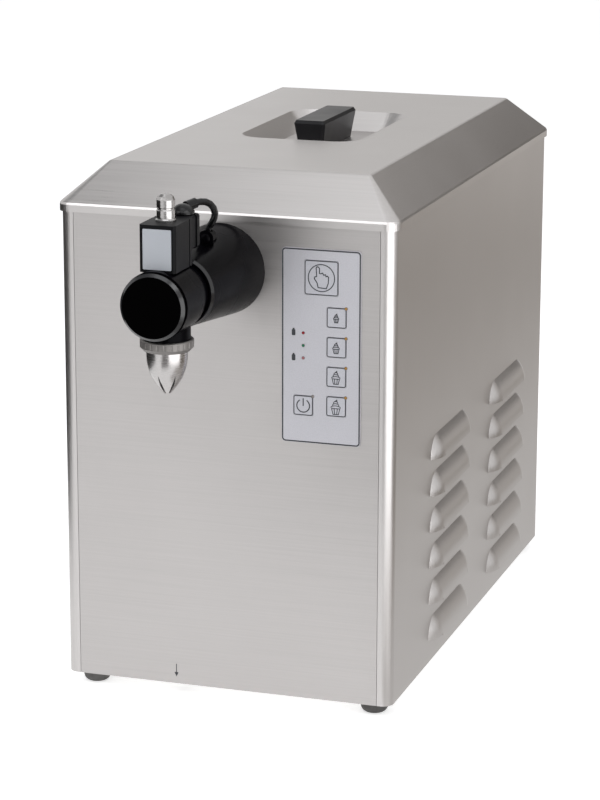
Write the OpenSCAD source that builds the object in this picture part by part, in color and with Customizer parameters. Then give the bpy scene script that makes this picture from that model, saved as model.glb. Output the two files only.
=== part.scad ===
// Counter-top cream whipper: bevelled steel casing, cooled well, gear pump,
// insulated head with solenoid valve and star nozzle. Millimetres, +Z up, the front faces -Y.

/* [Casing] */
// Outer width of the casing
body_w = 250; // [220:1:320]
// Outer depth of the casing, front face to back face
body_d = 452; // [430:1:560]
// Height of the casing from its underside to the rim under the lid
body_h = 347; // [335:1:420]
// Height of the rubber feet
foot_h = 10; // [6:1:25]
// Thickness of the sheet steel
sheet_t = 1.2; // [0.8:0.1:1.5]
// Outer radius of the folded vertical corners
fold_r = 8; // [5:0.5:9]
// Width of the strip that each side panel folds round onto the front and back
return_w = 10.5; // [10:0.5:13]
// Radius of each rubber foot
foot_r = 10; // [8:0.5:12]
// Distance of each foot's centre from the nearest two sides
foot_inset = 17; // [15:1:30]

/* [Louvres] */
// Number of louvres in each column
louvre_rows = 6; // [3:1:6]
// Length of one louvre along the side
louvre_l = 104; // [60:1:110]
// Height of one louvre
louvre_h = 17; // [12:0.5:19]
// How far a louvre stands out of the side
louvre_out = 7; // [5:0.5:8]
// Height from one louvre to the next
louvre_pitch = 28; // [24:0.2:30]
// Height of the lowest louvre's open edge above the casing's underside
louvre_low = 18; // [14:1:30]
// Distance from the front face to the middle of the front column
louvre_front = 152; // [140:1:180]
// Distance between the two columns
louvre_columns = 174; // [150:1:190]

/* [Lid] */
// Height of the lid's flat top above the casing's rim
lid_h = 34; // [28:1:45]
// Height of the upright rim under the lid's bevel
lid_rim_h = 6.5; // [3:0.5:8]
// How far the bevel runs in from each side
bevel_run = 28; // [15:1:30]
// How far the lid stands past the casing on every side
lid_over = 2; // [0.5:0.5:2.5]
// Width of the grip well in the lid
well_w = 95; // [80:1:120]
// Length of the grip well in the lid
well_l = 152; // [130:1:170]
// Depth of the grip well
well_depth = 14; // [10:1:16]
// How far the sloped walls of the grip well run in
well_run = 12; // [6:1:16]
// Distance from the front face to the middle of the grip well
well_mid = 235; // [200:1:250]
// Width of the grip bar across its top
grip_w = 25; // [20:1:34]
// Length of the grip bar along its top
grip_l = 83; // [60:1:100]
// Height of the grip bar above the lid's flat top
grip_up = 9; // [4:1:14]

/* [Head] */
// Distance of the head's axis from the casing's middle, to the right
head_x = -3; // [-20:1:10]
// Height of the head's axis above the casing's underside
head_up = 313; // [300:1:314]
// Distance from the front face to the front of the cap
head_l = 137; // [130:1:160]
// Radius of the insulating sleeve where it meets the casing
sleeve_r = 33; // [30:0.5:33.5]
// Radius of the insulating sleeve at its front lip
sleeve_front_r = 24.5; // [24:0.5:27]
// Length of the insulating sleeve
sleeve_l = 84.5; // [83:0.5:92]
// Radius of the valve body
valve_r = 23.5; // [22.5:0.5:25]
// Distance of the valve's upright axis behind the cap's face
valve_back = 29; // [28:0.1:30]
// Height of the flat on the valve body that carries the coil, above the head's axis
valve_flat = 21.5; // [20.5:0.5:22]
// Width of the coil
coil_w = 25.6; // [24:0.2:30]
// Depth of the coil from front to back
coil_d = 35; // [33:0.5:36]
// Height of the coil
coil_h = 32; // [28:0.5:36]
// Outer radius of the nozzle ring
ring_r = 18.3; // [18:0.1:18.4]
// Outer radius of the star nozzle
nozzle_r = 14.1; // [12:0.1:14.4]
// Length of the star nozzle under its ring
nozzle_l = 30; // [26:1:34]
// Number of teeth of the star nozzle
nozzle_teeth = 6; // [5:1:8]
// Diameter of the coil's cable
cable_d = 4.8; // [4:0.1:5]

/* [Keypad] */
// Distance from the casing's middle to the middle of the keypad
pad_x = 72; // [68:0.5:78]
// Height of the keypad's middle above the casing's underside
pad_up = 262; // [250:0.5:262]
// Width of the keypad
pad_w = 58; // [57:0.5:60]
// Height of the keypad
pad_h = 140; // [138:1:144]
// Thickness of the keypad plate
pad_t = 1.6; // [1.2:0.1:2]
// Side of the large key
hand_key_w = 24.4; // [22:0.2:26]
// Side of each small key
small_key_w = 14.2; // [12:0.2:15]
// How far a key stands out of the keypad plate
key_proud = 0.3; // [0.1:0.1:0.5]
// How far a key moves when it is pressed
key_travel = 0.4; // [0.2:0.1:0.4]
// Radius of each indicator lamp
lamp_r = 1.1; // [0.8:0.1:1.2]

/* [Cold store] */
// Width of the cold well inside
tank_w = 176; // [168:1:190]
// Length of the cold well inside
tank_l = 360; // [356:1:370]
// Depth of the cold well inside
tank_depth = 143; // [138:1:150]
// Thickness of the foam under and beside the cold well
foam_t = 22; // [18:1:24]
// Distance from the front face to the cold well's front wall
tank_front = 28; // [28:1:30]
// Width of the cream container
can_w = 150; // [120:1:158]
// Length of the cream container
can_l = 240; // [200:1:250]
// Height of the cream container
can_h = 118; // [100:1:122]
// Wall thickness of the cream container
can_t = 1; // [0.8:0.1:1.5]
// Radius of the cream container's upright corners
can_r = 18; // [12:1:26]

/* [Pump] */
// Number of teeth of each pump gear
gear_teeth = 12; // [12:4:12]
// Module of the pump gears
gear_module = 2; // [1.8:0.1:2.2]
// Height of the pump gears
gear_h = 14; // [10:1:16]
// Radius of the drive shaft
shaft_r = 4; // [3:0.5:4.5]
// Outer radius of the suction tube
suction_r = 4; // [3:0.5:4]
// Outer radius of the labyrinth tube
laby_r = 13; // [11:0.5:13]
// Number of baffles on the labyrinth insert
baffles = 12; // [8:1:14]

/* [Cooling] */
// Radius of the compressor
comp_r = 52; // [45:1:54]
// Height of the compressor above its foot plate
comp_h = 125; // [100:1:128]
// Side of the square fan frame
fan_w = 120; // [100:1:124]
// Number of fan blades
fan_blades = 7; // [5:1:9]
// Number of condenser fins
fins = 20; // [12:1:24]
// Radius of the refrigerant pipes
pipe_r = 3; // [2.5:0.5:3]
// Radius of the evaporator pipe
evap_r = 4; // [3:0.5:4]

/* [Clearances] */
// Gap between the front panel and the folded strips beside it
seam_gap = 0.3; // [0.2:0.1:0.5]
// Gap between pieces that lift or slide past each other
lift_gap = 0.3; // [0.2:0.1:0.5]
// Gap beside each key in its window
key_gap = 0.25; // [0.2:0.05:0.4]
// Radial gap of a shaft in its bore
run_gap = 0.05; // [0.03:0.01:0.1]
// Gap between pieces that are fitted and do not move
fit_gap = 0.1; // [0.05:0.05:0.2]

/* [Hidden] */
$fn = 48;

// Colours as the photograph shows them
steel = [0.76, 0.75, 0.73];
bright_steel = [0.85, 0.85, 0.86];
black_plastic = [0.08, 0.08, 0.09];
pad_silver = [0.74, 0.75, 0.79];
foam_cream = [0.93, 0.88, 0.7];
copper = [0.75, 0.45, 0.3];
rubber_black = [0.12, 0.12, 0.12];
board_green = [0.1, 0.35, 0.2];
cast_grey = [0.5, 0.51, 0.53];

// Levels above the floor
rim_z = foot_h + body_h;
lid_top_z = rim_z + lid_h;
head_z = foot_h + head_up;
inlet_out = 3;

// The origin is the middle of the footprint, so everything is shifted by where the front face lies
front_y = (head_l - body_d - inlet_out) / 2;

// Casing
panel_edge = body_w / 2 - return_w - seam_gap;
flange_d = 12;
inner_half = body_w / 2 - sheet_t - seam_gap;
tray_z = foot_h;
deck_z = rim_z - sheet_t;
louvre_arc_r = (louvre_h * louvre_h + louvre_out * louvre_out) / (2 * louvre_out);
louvre_slot_r = sqrt(pow(louvre_arc_r - sheet_t, 2) - pow(louvre_arc_r - louvre_out, 2)) - 0.4;
spigot_r = 20;
spigot_l = 6;

// Cold well
tank_t = 1.2;
tank_r = 16;
tank_rim = 8;
tank_rim_z = rim_z + 0.1;
tank_floor_z = tank_rim_z + tank_t - tank_depth;
tank_back = tank_front + tank_l;
coil_z = tank_floor_z - tank_t - evap_r - fit_gap;
foam_low_z = tank_floor_z - tank_t - foam_t;

// Lid
lid_low_z = rim_z + lift_gap;
seal_t = 3;
liner_z = tank_rim_z + tank_t + seal_t + 0.2;
liner_step = 4;
liner_low_z = liner_z - liner_step;

// Cream container
can_front = 118;
can_mid = can_front + can_l / 2;
can_floor_z = tank_floor_z + lift_gap;
can_rim_z = can_floor_z + can_h;
can_rim = 6;
cover_t = 1.5;
notch_w = 2 * suction_r + 6;

// Pump: the gears' centres lie to the left and right of the head's axis
gear_c = gear_teeth * gear_module;
gear_tip_r = gear_c / 2 + gear_module;
gear_root_r = gear_c / 2 - 1.25 * gear_module;
pump_y = 56;
pump_w = gear_c + 2 * gear_tip_r + 14;
pump_d = 44;
socket_d = 5.5;
pump_low_z = head_z - 17;
pump_high_z = head_z + 14;
gear_low_z = head_z - gear_h / 2;
pocket_gap = 0.15;
drive_x = head_x + gear_c / 2;
idler_x = head_x - gear_c / 2;
cover_h = 6;
motor_top_z = foam_low_z - 1;

// Head, measured forward of the front face
laby_l = head_l - 40;
laby_bore = laby_r - 2;
valve_l = head_l - valve_back;
valve_rear = head_l - 40;
valve_front = head_l - 6;
neck_r = 21;
cap_plug_l = 6.5;
coil_low = valve_flat + fit_gap;
coil_top = coil_low + coil_h;
coil_front = valve_l + 17.5;
coil_back = coil_front - coil_d;
stem_r = 6;
armature_r = 5;
plunger_lift = 4;
seat_z = -12.5;
boss_r = ring_r - 2.1;
spot_z = 26.3;
ring_low = 34.3;

// Coil plug, gland and clamp, measured sideways, forward and up from the head's axis
plug_l = 17;
plug_low = 31;
plug_back = coil_back - plug_l;
gland_at = [2, plug_back + 5, coil_top];
clamp_at = [7.2, 46.5, 31.5];
clamp_r = 5.6;
clamp_l = 8;

// The cable's route from the gland round to the top of the clamp, in the same measures
cable_route = [
    [4.3, 70, 58.5],
    [6, 67, 59.1],
    [8.2, 63, 59.3],
    [10.4, 58.9, 58.6],
    [12.3, 55, 56.6],
    [13.6, 52, 53.4],
    [13.9, 49.8, 49.6],
    [12.8, 48.3, 45.8],
    [10.9, 47.4, 42.4],
    [8.8, 46.8, 39.6],
    [7.5, 46.5, 36.6],
    [7.2, 46.5, 34]
];
// The loop lies in one upright plane, and this is sideways to it
cable_side = [0.87, -0.48, 0];

// Keypad: offsets of each key's and lamp's middle from the keypad's middle
hand_at = [0.2, 49.7];
portion_x = 11.4;
portion_at = [for (i = [0 : 3]) [portion_x, 22 - 21.3 * i]];
power_at = [-12.9, -42.8];
temp_lamp_x = -13.1;
temp_lamps = [9.6, 0.5, -8.5];
key_corner = small_key_w / 2 - 0.2;
board_y = 8.5;
board_t = 1.6;
switch_h = 3;
flange_t = 0.8;
window_w = pad_w - 12;
window_h = pad_h - 12;

// Rinse button under the front edge
button_at = [-38.7, 16];
button_r = 4;
button_travel = 2.5;

// Cooling unit
comp_at = [-54, 330];
cond_at = [92, 238];
cond_w = 36;
cond_l = 190;
cond_h = 124;
cond_low = tray_z + sheet_t + 2;
fan_at = [52, 238, cond_low + 64];
fan_t = 25;
supply_at = [-72, 175];

// General helpers

module from_front() {
    translate([0, front_y, 0]) children();
}

// Local +Z runs forward out of the casing along the head's axis, local +Y is up
module along_head() {
    from_front() translate([head_x, 0, head_z]) rotate([90, 0, 0]) children();
}

// Origin where the valve's upright axis crosses the head's axis
module at_valve() {
    from_front() translate([head_x, -valve_l, head_z]) children();
}

// Local x is to the right, local y is up, local z is out of the front face
module on_keypad(at) {
    from_front() translate([pad_x + at[0], 0, foot_h + pad_up + at[1]]) rotate([90, 0, 0]) children();
}

module rounded_rect(w, l, r) {
    square([w - 2 * r, l], center = true);
    square([w, l - 2 * r], center = true);
    for (x = [-1, 1], y = [-1, 1]) translate([x * (w / 2 - r), y * (l / 2 - r)]) circle(r);
}

module rounded_block(w, l, h, r) {
    linear_extrude(h) rounded_rect(w, l, r);
}

module ring(r_out, r_in, h) {
    difference() {
        cylinder(h = h, r = r_out);
        translate([0, 0, -1]) cylinder(h = h + 2, r = r_in);
    }
}

function unit(v) = v / norm(v);
function frame_at(p, e1, e2, e3) = [
    [e1[0], e2[0], e3[0], p[0]],
    [e1[1], e2[1], e3[1], p[1]],
    [e1[2], e2[2], e3[2], p[2]],
    [0, 0, 0, 1]
];

// A pipe along points joined by straight runs that turn at right angles, with bends of radius bend
module pipe_run(points, r, bend) {
    last = len(points) - 1;
    for (i = [0 : last - 1]) {
        u = unit(points[i + 1] - points[i]);
        side = abs(u[2]) > 0.5 ? [1, 0, 0] : [0, 0, 1];
        from = i == 0 ? points[i] : points[i] + u * bend;
        to = i == last - 1 ? points[last] : points[i + 1] - u * bend;
        if (norm(to - from) > 0.01)
            multmatrix(frame_at(from, side, cross(u, side), u)) cylinder(h = norm(to - from), r = r);
    }
    if (last > 1)
        for (i = [1 : last - 1]) {
            u = unit(points[i] - points[i - 1]);
            v = unit(points[i + 1] - points[i]);
            centre = points[i] - u * bend + v * bend;
            multmatrix(frame_at(centre, -v, u, cross(-v, u)))
                rotate_extrude(angle = 90) translate([bend, 0]) circle(r);
        }
}

// A tube swept along points, with rings of n points that keep one direction square to the route
module swept(points, r, n, sides) {
    last = len(points) - 1;
    function ahead(i) = unit(points[min(i + 1, last)] - points[max(i - 1, 0)]);
    function across(i) = unit(sides[i] - ahead(i) * (sides[i] * ahead(i)));
    rings = [
        for (i = [0 : last], k = [0 : n - 1])
            let (a = 360 * k / n, e1 = across(i), e2 = cross(ahead(i), e1))
                points[i] + e1 * r * cos(a) + e2 * r * sin(a)
    ];
    walls = [
        for (i = [0 : last - 1], k = [0 : n - 1], half = [0, 1])
            let (k2 = (k + 1) % n)
                half == 0
                    ? [i * n + k, (i + 1) * n + k2, i * n + k2]
                    : [i * n + k, (i + 1) * n + k, (i + 1) * n + k2]
    ];
    near_end = [[for (k = [0 : n - 1]) k]];
    far_end = [[for (k = [n - 1 : -1 : 0]) last * n + k]];
    polyhedron(points = rings, faces = concat(walls, near_end, far_end));
}

// Casing

module fold_arc() {
    difference() {
        intersection() {
            circle(fold_r);
            translate([0, -fold_r]) square(fold_r);
        }
        circle(fold_r - sheet_t);
    }
}

module side_profile() {
    translate([body_w / 2 - sheet_t, fold_r]) square([sheet_t, body_d - 2 * fold_r]);
    for (back = [0, 1])
        translate([0, back * body_d]) mirror([0, back]) {
            translate([body_w / 2 - fold_r, fold_r]) fold_arc();
            translate([body_w / 2 - return_w, 0]) square([return_w - fold_r, sheet_t]);
        }
}

// Section of a louvre: height above its open edge along x, how far it stands out along y
module louvre_section() {
    intersection() {
        square([louvre_h, louvre_out]);
        translate([0, louvre_out - louvre_arc_r]) difference() {
            circle(louvre_arc_r);
            circle(louvre_arc_r - sheet_t);
        }
    }
}

// One louvre on the outer face: local z stands out of the side, local y is up
module louvre() {
    straight = louvre_l - 2 * louvre_h;
    for (end = [0, 1]) mirror([end, 0, 0])
        translate([straight / 2, 0, 0]) rotate_extrude(angle = 90) louvre_section();
    translate([-straight / 2, 0, 0]) rotate([90, 0, 90]) linear_extrude(straight) louvre_section();
}

module louvre_slot() {
    straight = louvre_l - 2 * louvre_h;
    low = 0.4;
    translate([0, 0, -2 * sheet_t]) linear_extrude(3 * sheet_t) {
        translate([-straight / 2, low]) square([straight, louvre_slot_r - low]);
        for (end = [0, 1]) mirror([end, 0])
            translate([straight / 2, 0]) intersection() {
                circle(louvre_slot_r);
                translate([0, low]) square(louvre_slot_r);
            }
    }
}

module at_louvres() {
    for (column = [0, 1], row = [0 : louvre_rows - 1])
        translate([
            body_w / 2,
            louvre_front + column * louvre_columns,
            foot_h + louvre_low + row * louvre_pitch
        ]) rotate([90, 0, 90]) children();
}

module side_panel() {
    difference() {
        union() {
            translate([0, 0, foot_h]) linear_extrude(body_h) side_profile();
            // Flange that stands on the tray and takes its screws
            translate([body_w / 2 - sheet_t - low_flange, fold_r + 4, tray_z + sheet_t + fit_gap])
                cube([low_flange + sheet_t / 2, body_d - 2 * fold_r - 8, sheet_t]);
        }
        at_louvres() louvre_slot();
        at_tray_screws() cylinder(h = 12, r = screw_r - 0.3, center = true);
    }
    at_louvres() louvre();
}

// Screws up through the tray into the right side panel's flange, local z downwards
screw_r = 2;
screw_head_r = 4;
low_flange = 9;
module at_tray_screws() {
    for (y = [60, body_d / 2, body_d - 60])
        translate([body_w / 2 - sheet_t - low_flange / 2, y, tray_z]) rotate([180, 0, 0]) children();
}

module at_back_screws() {
    for (x = [-1, 1], z = [tray_z + 7, deck_z - 6])
        translate([x * (panel_edge - 12), body_d, z]) rotate([-90, 0, 0]) children();
}

module front_panel() {
    color(steel) from_front() difference() {
        union() {
            translate([-panel_edge, 0, foot_h]) cube([2 * panel_edge, sheet_t, body_h]);
            for (side = [0, 1]) mirror([side, 0, 0])
                translate([panel_edge - sheet_t, 0, foot_h + 3]) cube([sheet_t, flange_d, body_h - 16]);
            // Studs that carry the control board
            for (x = [-1, 1], z = [-1, 1])
                translate([pad_x + x * (pad_w / 2 - 3), 0, foot_h + pad_up + z * (pad_h / 2 - 6)])
                    rotate([-90, 0, 0]) cylinder(h = board_y, r = 2.5);
        }
        translate([head_x, -1, head_z]) rotate([-90, 0, 0])
            cylinder(h = sheet_t + 2, r = spigot_r + fit_gap);
        translate([pad_x - window_w / 2, -1, foot_h + pad_up - window_h / 2])
            cube([window_w, sheet_t + 2, window_h]);
    }
}

module right_side_panel() {
    color(steel) from_front() side_panel();
}

module left_side_panel() {
    color(steel) from_front() mirror([1, 0, 0]) side_panel();
}

inlet_at = [58, 52];
inlet_w = 28;
inlet_h = 20.5;

module back_panel() {
    color(steel) from_front() difference() {
        union() {
            translate([-panel_edge, body_d - sheet_t, foot_h]) cube([2 * panel_edge, sheet_t, body_h]);
            for (side = [0, 1]) mirror([side, 0, 0])
                translate([panel_edge - sheet_t, body_d - flange_d, foot_h + 22])
                    cube([sheet_t, flange_d, body_h - 40]);
        }
        for (column = [-1, 1], row = [0 : 9])
            translate([column * 42, body_d + 1, foot_h + 96 + row * 12]) rotate([90, 0, 0])
                linear_extrude(sheet_t + 2) rounded_rect(66, 5, 2.4);
        translate([inlet_at[0], body_d + 1, foot_h + inlet_at[1]]) rotate([90, 0, 0])
            linear_extrude(sheet_t + 2) rounded_rect(inlet_w, inlet_h, 2);
        at_back_screws() cylinder(h = 4 * sheet_t, r = screw_r + fit_gap, center = true);
    }
}

module base_tray() {
    tray_w = 2 * inner_half;
    tray_l = body_d - 2 * sheet_t - 2 * seam_gap;
    color(steel) from_front() difference() {
        union() {
            translate([0, body_d / 2, tray_z])
                rounded_block(tray_w, tray_l, sheet_t, fold_r - sheet_t - seam_gap);
            // Upright strip at the back for the back panel's screws
            translate([-panel_edge + 4, body_d - 2 * sheet_t - seam_gap, tray_z])
                cube([2 * panel_edge - 8, sheet_t, 14]);
            // Sleeve that guides the rinse button
            translate([button_at[0], button_at[1], tray_z]) cylinder(h = 10, r = button_r + 2);
        }
        for (x = [-1, 1], y = [foot_inset, body_d - foot_inset])
            translate([x * (body_w / 2 - foot_inset), y, tray_z - 1])
                cylinder(h = sheet_t + 2, r = screw_r + fit_gap);
        translate([button_at[0], button_at[1], tray_z - 1])
            cylinder(h = 20, r = button_r + run_gap);
        for (row = [0 : 5])
            translate([0, 130 + row * 14, tray_z - 1]) linear_extrude(sheet_t + 2)
                rounded_rect(50, 5, 2.4);
        at_tray_screws() cylinder(h = 8, r = screw_r + fit_gap, center = true);
        mirror([1, 0, 0]) at_tray_screws() cylinder(h = 8, r = screw_r + fit_gap, center = true);
        at_back_screws() cylinder(h = 12, r = screw_r - 0.3, center = true);
    }
}

module top_deck() {
    deck_w = 2 * inner_half;
    deck_l = body_d - 2 * sheet_t - 2 * seam_gap;
    hole_w = tank_w + 2 * tank_t + 1;
    hole_l = tank_l + 2 * tank_t + 1;
    color(steel) from_front() difference() {
        union() {
            translate([0, body_d / 2, deck_z])
                rounded_block(deck_w, deck_l, sheet_t, fold_r - sheet_t - seam_gap);
            for (side = [0, 1]) mirror([side, 0, 0])
                translate([inner_half - sheet_t, fold_r + 4, deck_z - 11])
                    cube([sheet_t, body_d - 2 * fold_r - 8, 12]);
            translate([-panel_edge + 4, body_d - 2 * sheet_t - seam_gap, deck_z - 11])
                cube([2 * panel_edge - 8, sheet_t, 12]);
        }
        translate([0, tank_front + tank_l / 2, deck_z - 1])
            rounded_block(hole_w, hole_l, sheet_t + 2, tank_r + tank_t + 0.5);
        at_back_screws() cylinder(h = 12, r = screw_r - 0.3, center = true);
    }
}

module foot() {
    rotate_extrude() {
        difference() {
            union() {
                translate([0, foot_h / 2]) square([foot_r, foot_h / 2]);
                square([foot_r - foot_h / 2, foot_h]);
                translate([foot_r - foot_h / 2, foot_h / 2]) intersection() {
                    circle(foot_h / 2);
                    translate([0, -foot_h / 2]) square(foot_h / 2);
                }
            }
            translate([-1, -1]) square([3, 3]);
        }
    }
    translate([0, 0, foot_h]) cylinder(h = sheet_t, r = screw_r);
    translate([0, 0, foot_h + sheet_t]) cylinder(h = 3, r = 3.6, $fn = 6);
}

module feet() {
    color(rubber_black) from_front()
        for (x = [-1, 1], y = [foot_inset, body_d - foot_inset])
            translate([x * (body_w / 2 - foot_inset), y, 0]) foot();
}

module panel_screw() {
    translate([0, 0, -6]) cylinder(h = 6, r = screw_r - 0.3);
    difference() {
        intersection() {
            cylinder(h = 2, r = screw_head_r);
            translate([0, 0, -4]) sphere(r = 6);
        }
        for (turn = [0, 90]) rotate([0, 0, turn]) translate([-2, -0.4, 1]) cube([4, 0.8, 2]);
    }
}

module casing_screws() {
    color(bright_steel) from_front() {
        at_tray_screws() panel_screw();
        mirror([1, 0, 0]) at_tray_screws() panel_screw();
        at_back_screws() panel_screw();
    }
}

// Round button that is pushed up from under the front edge
module rinse_button() {
    color(black_plastic) from_front() translate([button_at[0], button_at[1], 0]) {
        translate([0, 0, tray_z - 4.5]) cylinder(h = 17, r = button_r);
        translate([0, 0, tray_z + 10.3]) cylinder(h = 2.2, r = button_r + 1.5);
    }
}

// Lid

// Solid of the bevelled hood, drawn in by inset and ending at height top_z
module hood_solid(inset, low_z, top_z, round_r) {
    rim_r = fold_r + lid_over - inset;
    half_w = body_w / 2 + lid_over - inset;
    bend_z = lid_low_z + lid_rim_h;
    hull() {
        for (x = [-1, 1], y = [0, 1]) {
            translate([
                x * (half_w - rim_r),
                y == 0 ? rim_r - lid_over + inset : body_d + lid_over - inset - rim_r,
                low_z
            ]) {
                cylinder(h = bend_z - low_z - 1.5, r = rim_r, $fn = 32);
                cylinder(h = bend_z - low_z, r = rim_r - 0.7, $fn = 32);
            }
            translate([
                x * (half_w - bevel_run - round_r + 1),
                y == 0 ? bevel_run + round_r - 1 : body_d - bevel_run - round_r + 1,
                top_z - round_r
            ]) sphere(r = round_r, $fn = 24);
        }
    }
}

// Sunk well with sloped walls, drawn larger by grow
module grip_well(grow, low_grow) {
    deep = well_depth + low_grow;
    hull() {
        translate([0, 0, -deep]) linear_extrude(0.1)
            rounded_rect(well_w - 2 * well_run + 2 * grow, well_l - 2 * well_run + 2 * grow, 9);
        linear_extrude(0.1) rounded_rect(well_w + 2 * grow, well_l + 2 * grow, 20);
    }
}

module at_grip_well() {
    translate([0, well_mid, lid_top_z]) children();
}

module lid_shell() {
    color(steel) from_front() difference() {
        union() {
            difference() {
                hood_solid(0, lid_low_z, lid_top_z, 4);
                hood_solid(sheet_t, lid_low_z - 1, lid_top_z - sheet_t, 3);
            }
            at_grip_well() translate([0, 0, -0.1]) grip_well(sheet_t, sheet_t);
        }
        at_grip_well() translate([0, 0, 0.05]) grip_well(0, 0.05);
        at_grip_well() for (y = [-1, 1])
            translate([0, y * 22, -well_depth - 3]) cylinder(h = 6, r = 2.6);
    }
}

module lid_insulation() {
    gap = sheet_t + fit_gap;
    color(foam_cream) from_front() difference() {
        hood_solid(gap + 0.3, lid_low_z, lid_top_z - gap - 0.3, 3);
        translate([-body_w, -10, lid_low_z - 1])
            cube([2 * body_w, body_d + 20, liner_z + sheet_t + fit_gap - lid_low_z + 1]);
        at_grip_well() translate([0, 0, 0.5]) grip_well(sheet_t + 0.6, sheet_t + 0.8);
        at_grip_well() for (y = [-1, 1])
            translate([0, y * 22, -well_depth - 20]) cylinder(h = 30, r = 6);
    }
}

module lid_liner() {
    step_w = tank_w - 4;
    step_l = tank_l - 4;
    color(steel) from_front() difference() {
        union() {
            translate([0, body_d / 2, liner_z])
                rounded_block(body_w - 2 * sheet_t - 1, body_d - 2 * sheet_t - 1, sheet_t, fold_r - sheet_t);
            translate([0, tank_front + tank_l / 2, liner_low_z])
                rounded_block(step_w, step_l, liner_step + sheet_t, tank_r - 2);
        }
        translate([0, tank_front + tank_l / 2, liner_low_z + sheet_t])
            rounded_block(step_w - 2 * sheet_t, step_l - 2 * sheet_t, liner_step + 1, tank_r - 2 - sheet_t);
    }
}

module lid_seal() {
    color(rubber_black) from_front()
        translate([0, tank_front + tank_l / 2, liner_z - seal_t - 0.02]) difference() {
            rounded_block(tank_w + 12, tank_l + 12, seal_t, tank_r + 6);
            translate([0, 0, -1]) rounded_block(tank_w - 3.4, tank_l - 3.4, seal_t + 2, tank_r - 1.7);
        }
}

module lid_grip() {
    low_w = grip_w - 6;
    tall = well_depth + grip_up;
    color(black_plastic) from_front() at_grip_well() {
        translate([0, 0, -well_depth + fit_gap]) difference() {
            hull() {
                linear_extrude(0.1) rounded_rect(low_w, grip_l - 8, 2);
                translate([0, 0, tall - 2.5]) linear_extrude(0.1) rounded_rect(grip_w, grip_l, 2.5);
                translate([0, 0, tall - 0.1 - fit_gap]) linear_extrude(0.1)
                    rounded_rect(grip_w - 3, grip_l - 3, 1.5);
            }
            translate([0, 0, -1]) cylinder(h = tall - 6, r = 6);
        }
        for (y = [-1, 1]) translate([0, y * 22, -well_depth - 6]) {
            cylinder(h = 12, r = 2.5);
            cylinder(h = 4, r = 4.6, $fn = 6);
        }
    }
}

// Cold store

module at_tank() {
    from_front() translate([0, tank_front + tank_l / 2, 0]) children();
}

module cold_well() {
    color(bright_steel) difference() {
        at_tank() {
            translate([0, 0, tank_floor_z - tank_t])
                rounded_block(tank_w + 2 * tank_t, tank_l + 2 * tank_t,
                    tank_rim_z + tank_t - tank_floor_z + tank_t, tank_r + tank_t);
            translate([0, 0, tank_rim_z])
                rounded_block(tank_w + 2 * tank_rim, tank_l + 2 * tank_rim, tank_t, tank_r + tank_rim);
        }
        at_tank() translate([0, 0, tank_floor_z])
            rounded_block(tank_w, tank_l, tank_depth + 10, tank_r);
        along_head() translate([0, 0, -60]) cylinder(h = 50, r = laby_r + fit_gap);
        from_front() translate([drive_x, pump_y, tank_floor_z - 10]) cylinder(h = 20, r = shaft_r + 1);
    }
}

module well_insulation() {
    gap = fit_gap + 0.2;
    out_w = tank_w + 2 * tank_t + 2 * foam_t - 4;
    low_w = tank_w + 2 * tank_t + 2 * gap;
    out_l = tank_l + 2 * tank_t + foam_t + 10;
    color(foam_cream) difference() {
        from_front() translate([-out_w / 2, tank_front - tank_t - 11, foam_low_z])
            cube([out_w, out_l, deck_z - 12 - foam_low_z]);
        at_tank() translate([0, 0, tank_floor_z - tank_t - gap])
            rounded_block(low_w, tank_l + 2 * tank_t + 2 * gap, tank_depth + 20, tank_r + tank_t);
        // Pocket for the evaporator pipe and its two ends
        from_front() translate([-evap_half - evap_r - 2, evap_front - evap_r - 3, coil_z - evap_r - 1])
            cube([2 * (evap_half + evap_r + 2), evap_end - evap_front + 2 * evap_r + 8, 12 + evap_r]);
        from_front() for (x = [-1, 1])
            translate([x * evap_half, evap_end, foam_low_z - 1])
                cylinder(h = coil_z - foam_low_z + 2, r = evap_r + 4);
        along_head() translate([0, 0, -40]) cylinder(h = 40, r = laby_r + fit_gap);
        along_head() translate([0, 0, -spigot_l - 14]) cylinder(h = 14, r = spigot_r + 1);
        from_front() translate([drive_x, pump_y, foam_low_z - 1]) cylinder(h = 40, r = 16);
    }
}

evap_rows = 6;
evap_pitch = 27;
evap_half = evap_pitch * (evap_rows - 1) / 2;
evap_front = 140;
evap_back = 362;
evap_end = 392;

// One pipe that goes to and fro under the cold well, both ends turned down at the back
module evaporator_coil() {
    row_x = [for (i = [0 : evap_rows - 1]) -evap_half + i * evap_pitch];
    route = concat(
        [[row_x[0], evap_end, foam_low_z - 8], [row_x[0], evap_end, coil_z]],
        [for (i = [0 : 1 : evap_rows - 2], k = [0, 1])
            [row_x[i + k], i % 2 == 0 ? evap_front : evap_back, coil_z]],
        [[row_x[evap_rows - 1], evap_end, coil_z], [row_x[evap_rows - 1], evap_end, foam_low_z - 8]]
    );
    color(copper) from_front() pipe_run(route, evap_r, 12);
}

module cream_container() {
    color(bright_steel) from_front() translate([0, can_mid, 0]) difference() {
        union() {
            translate([0, 0, can_floor_z]) rounded_block(can_w, can_l, can_h, can_r);
            translate([0, 0, can_rim_z - 1.5])
                rounded_block(can_w + 2 * can_rim, can_l + 2 * can_rim, 1.5, can_r + can_rim);
        }
        translate([0, 0, can_floor_z + can_t])
            rounded_block(can_w - 2 * can_t, can_l - 2 * can_t, can_h + 5, can_r - can_t);
    }
}

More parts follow.
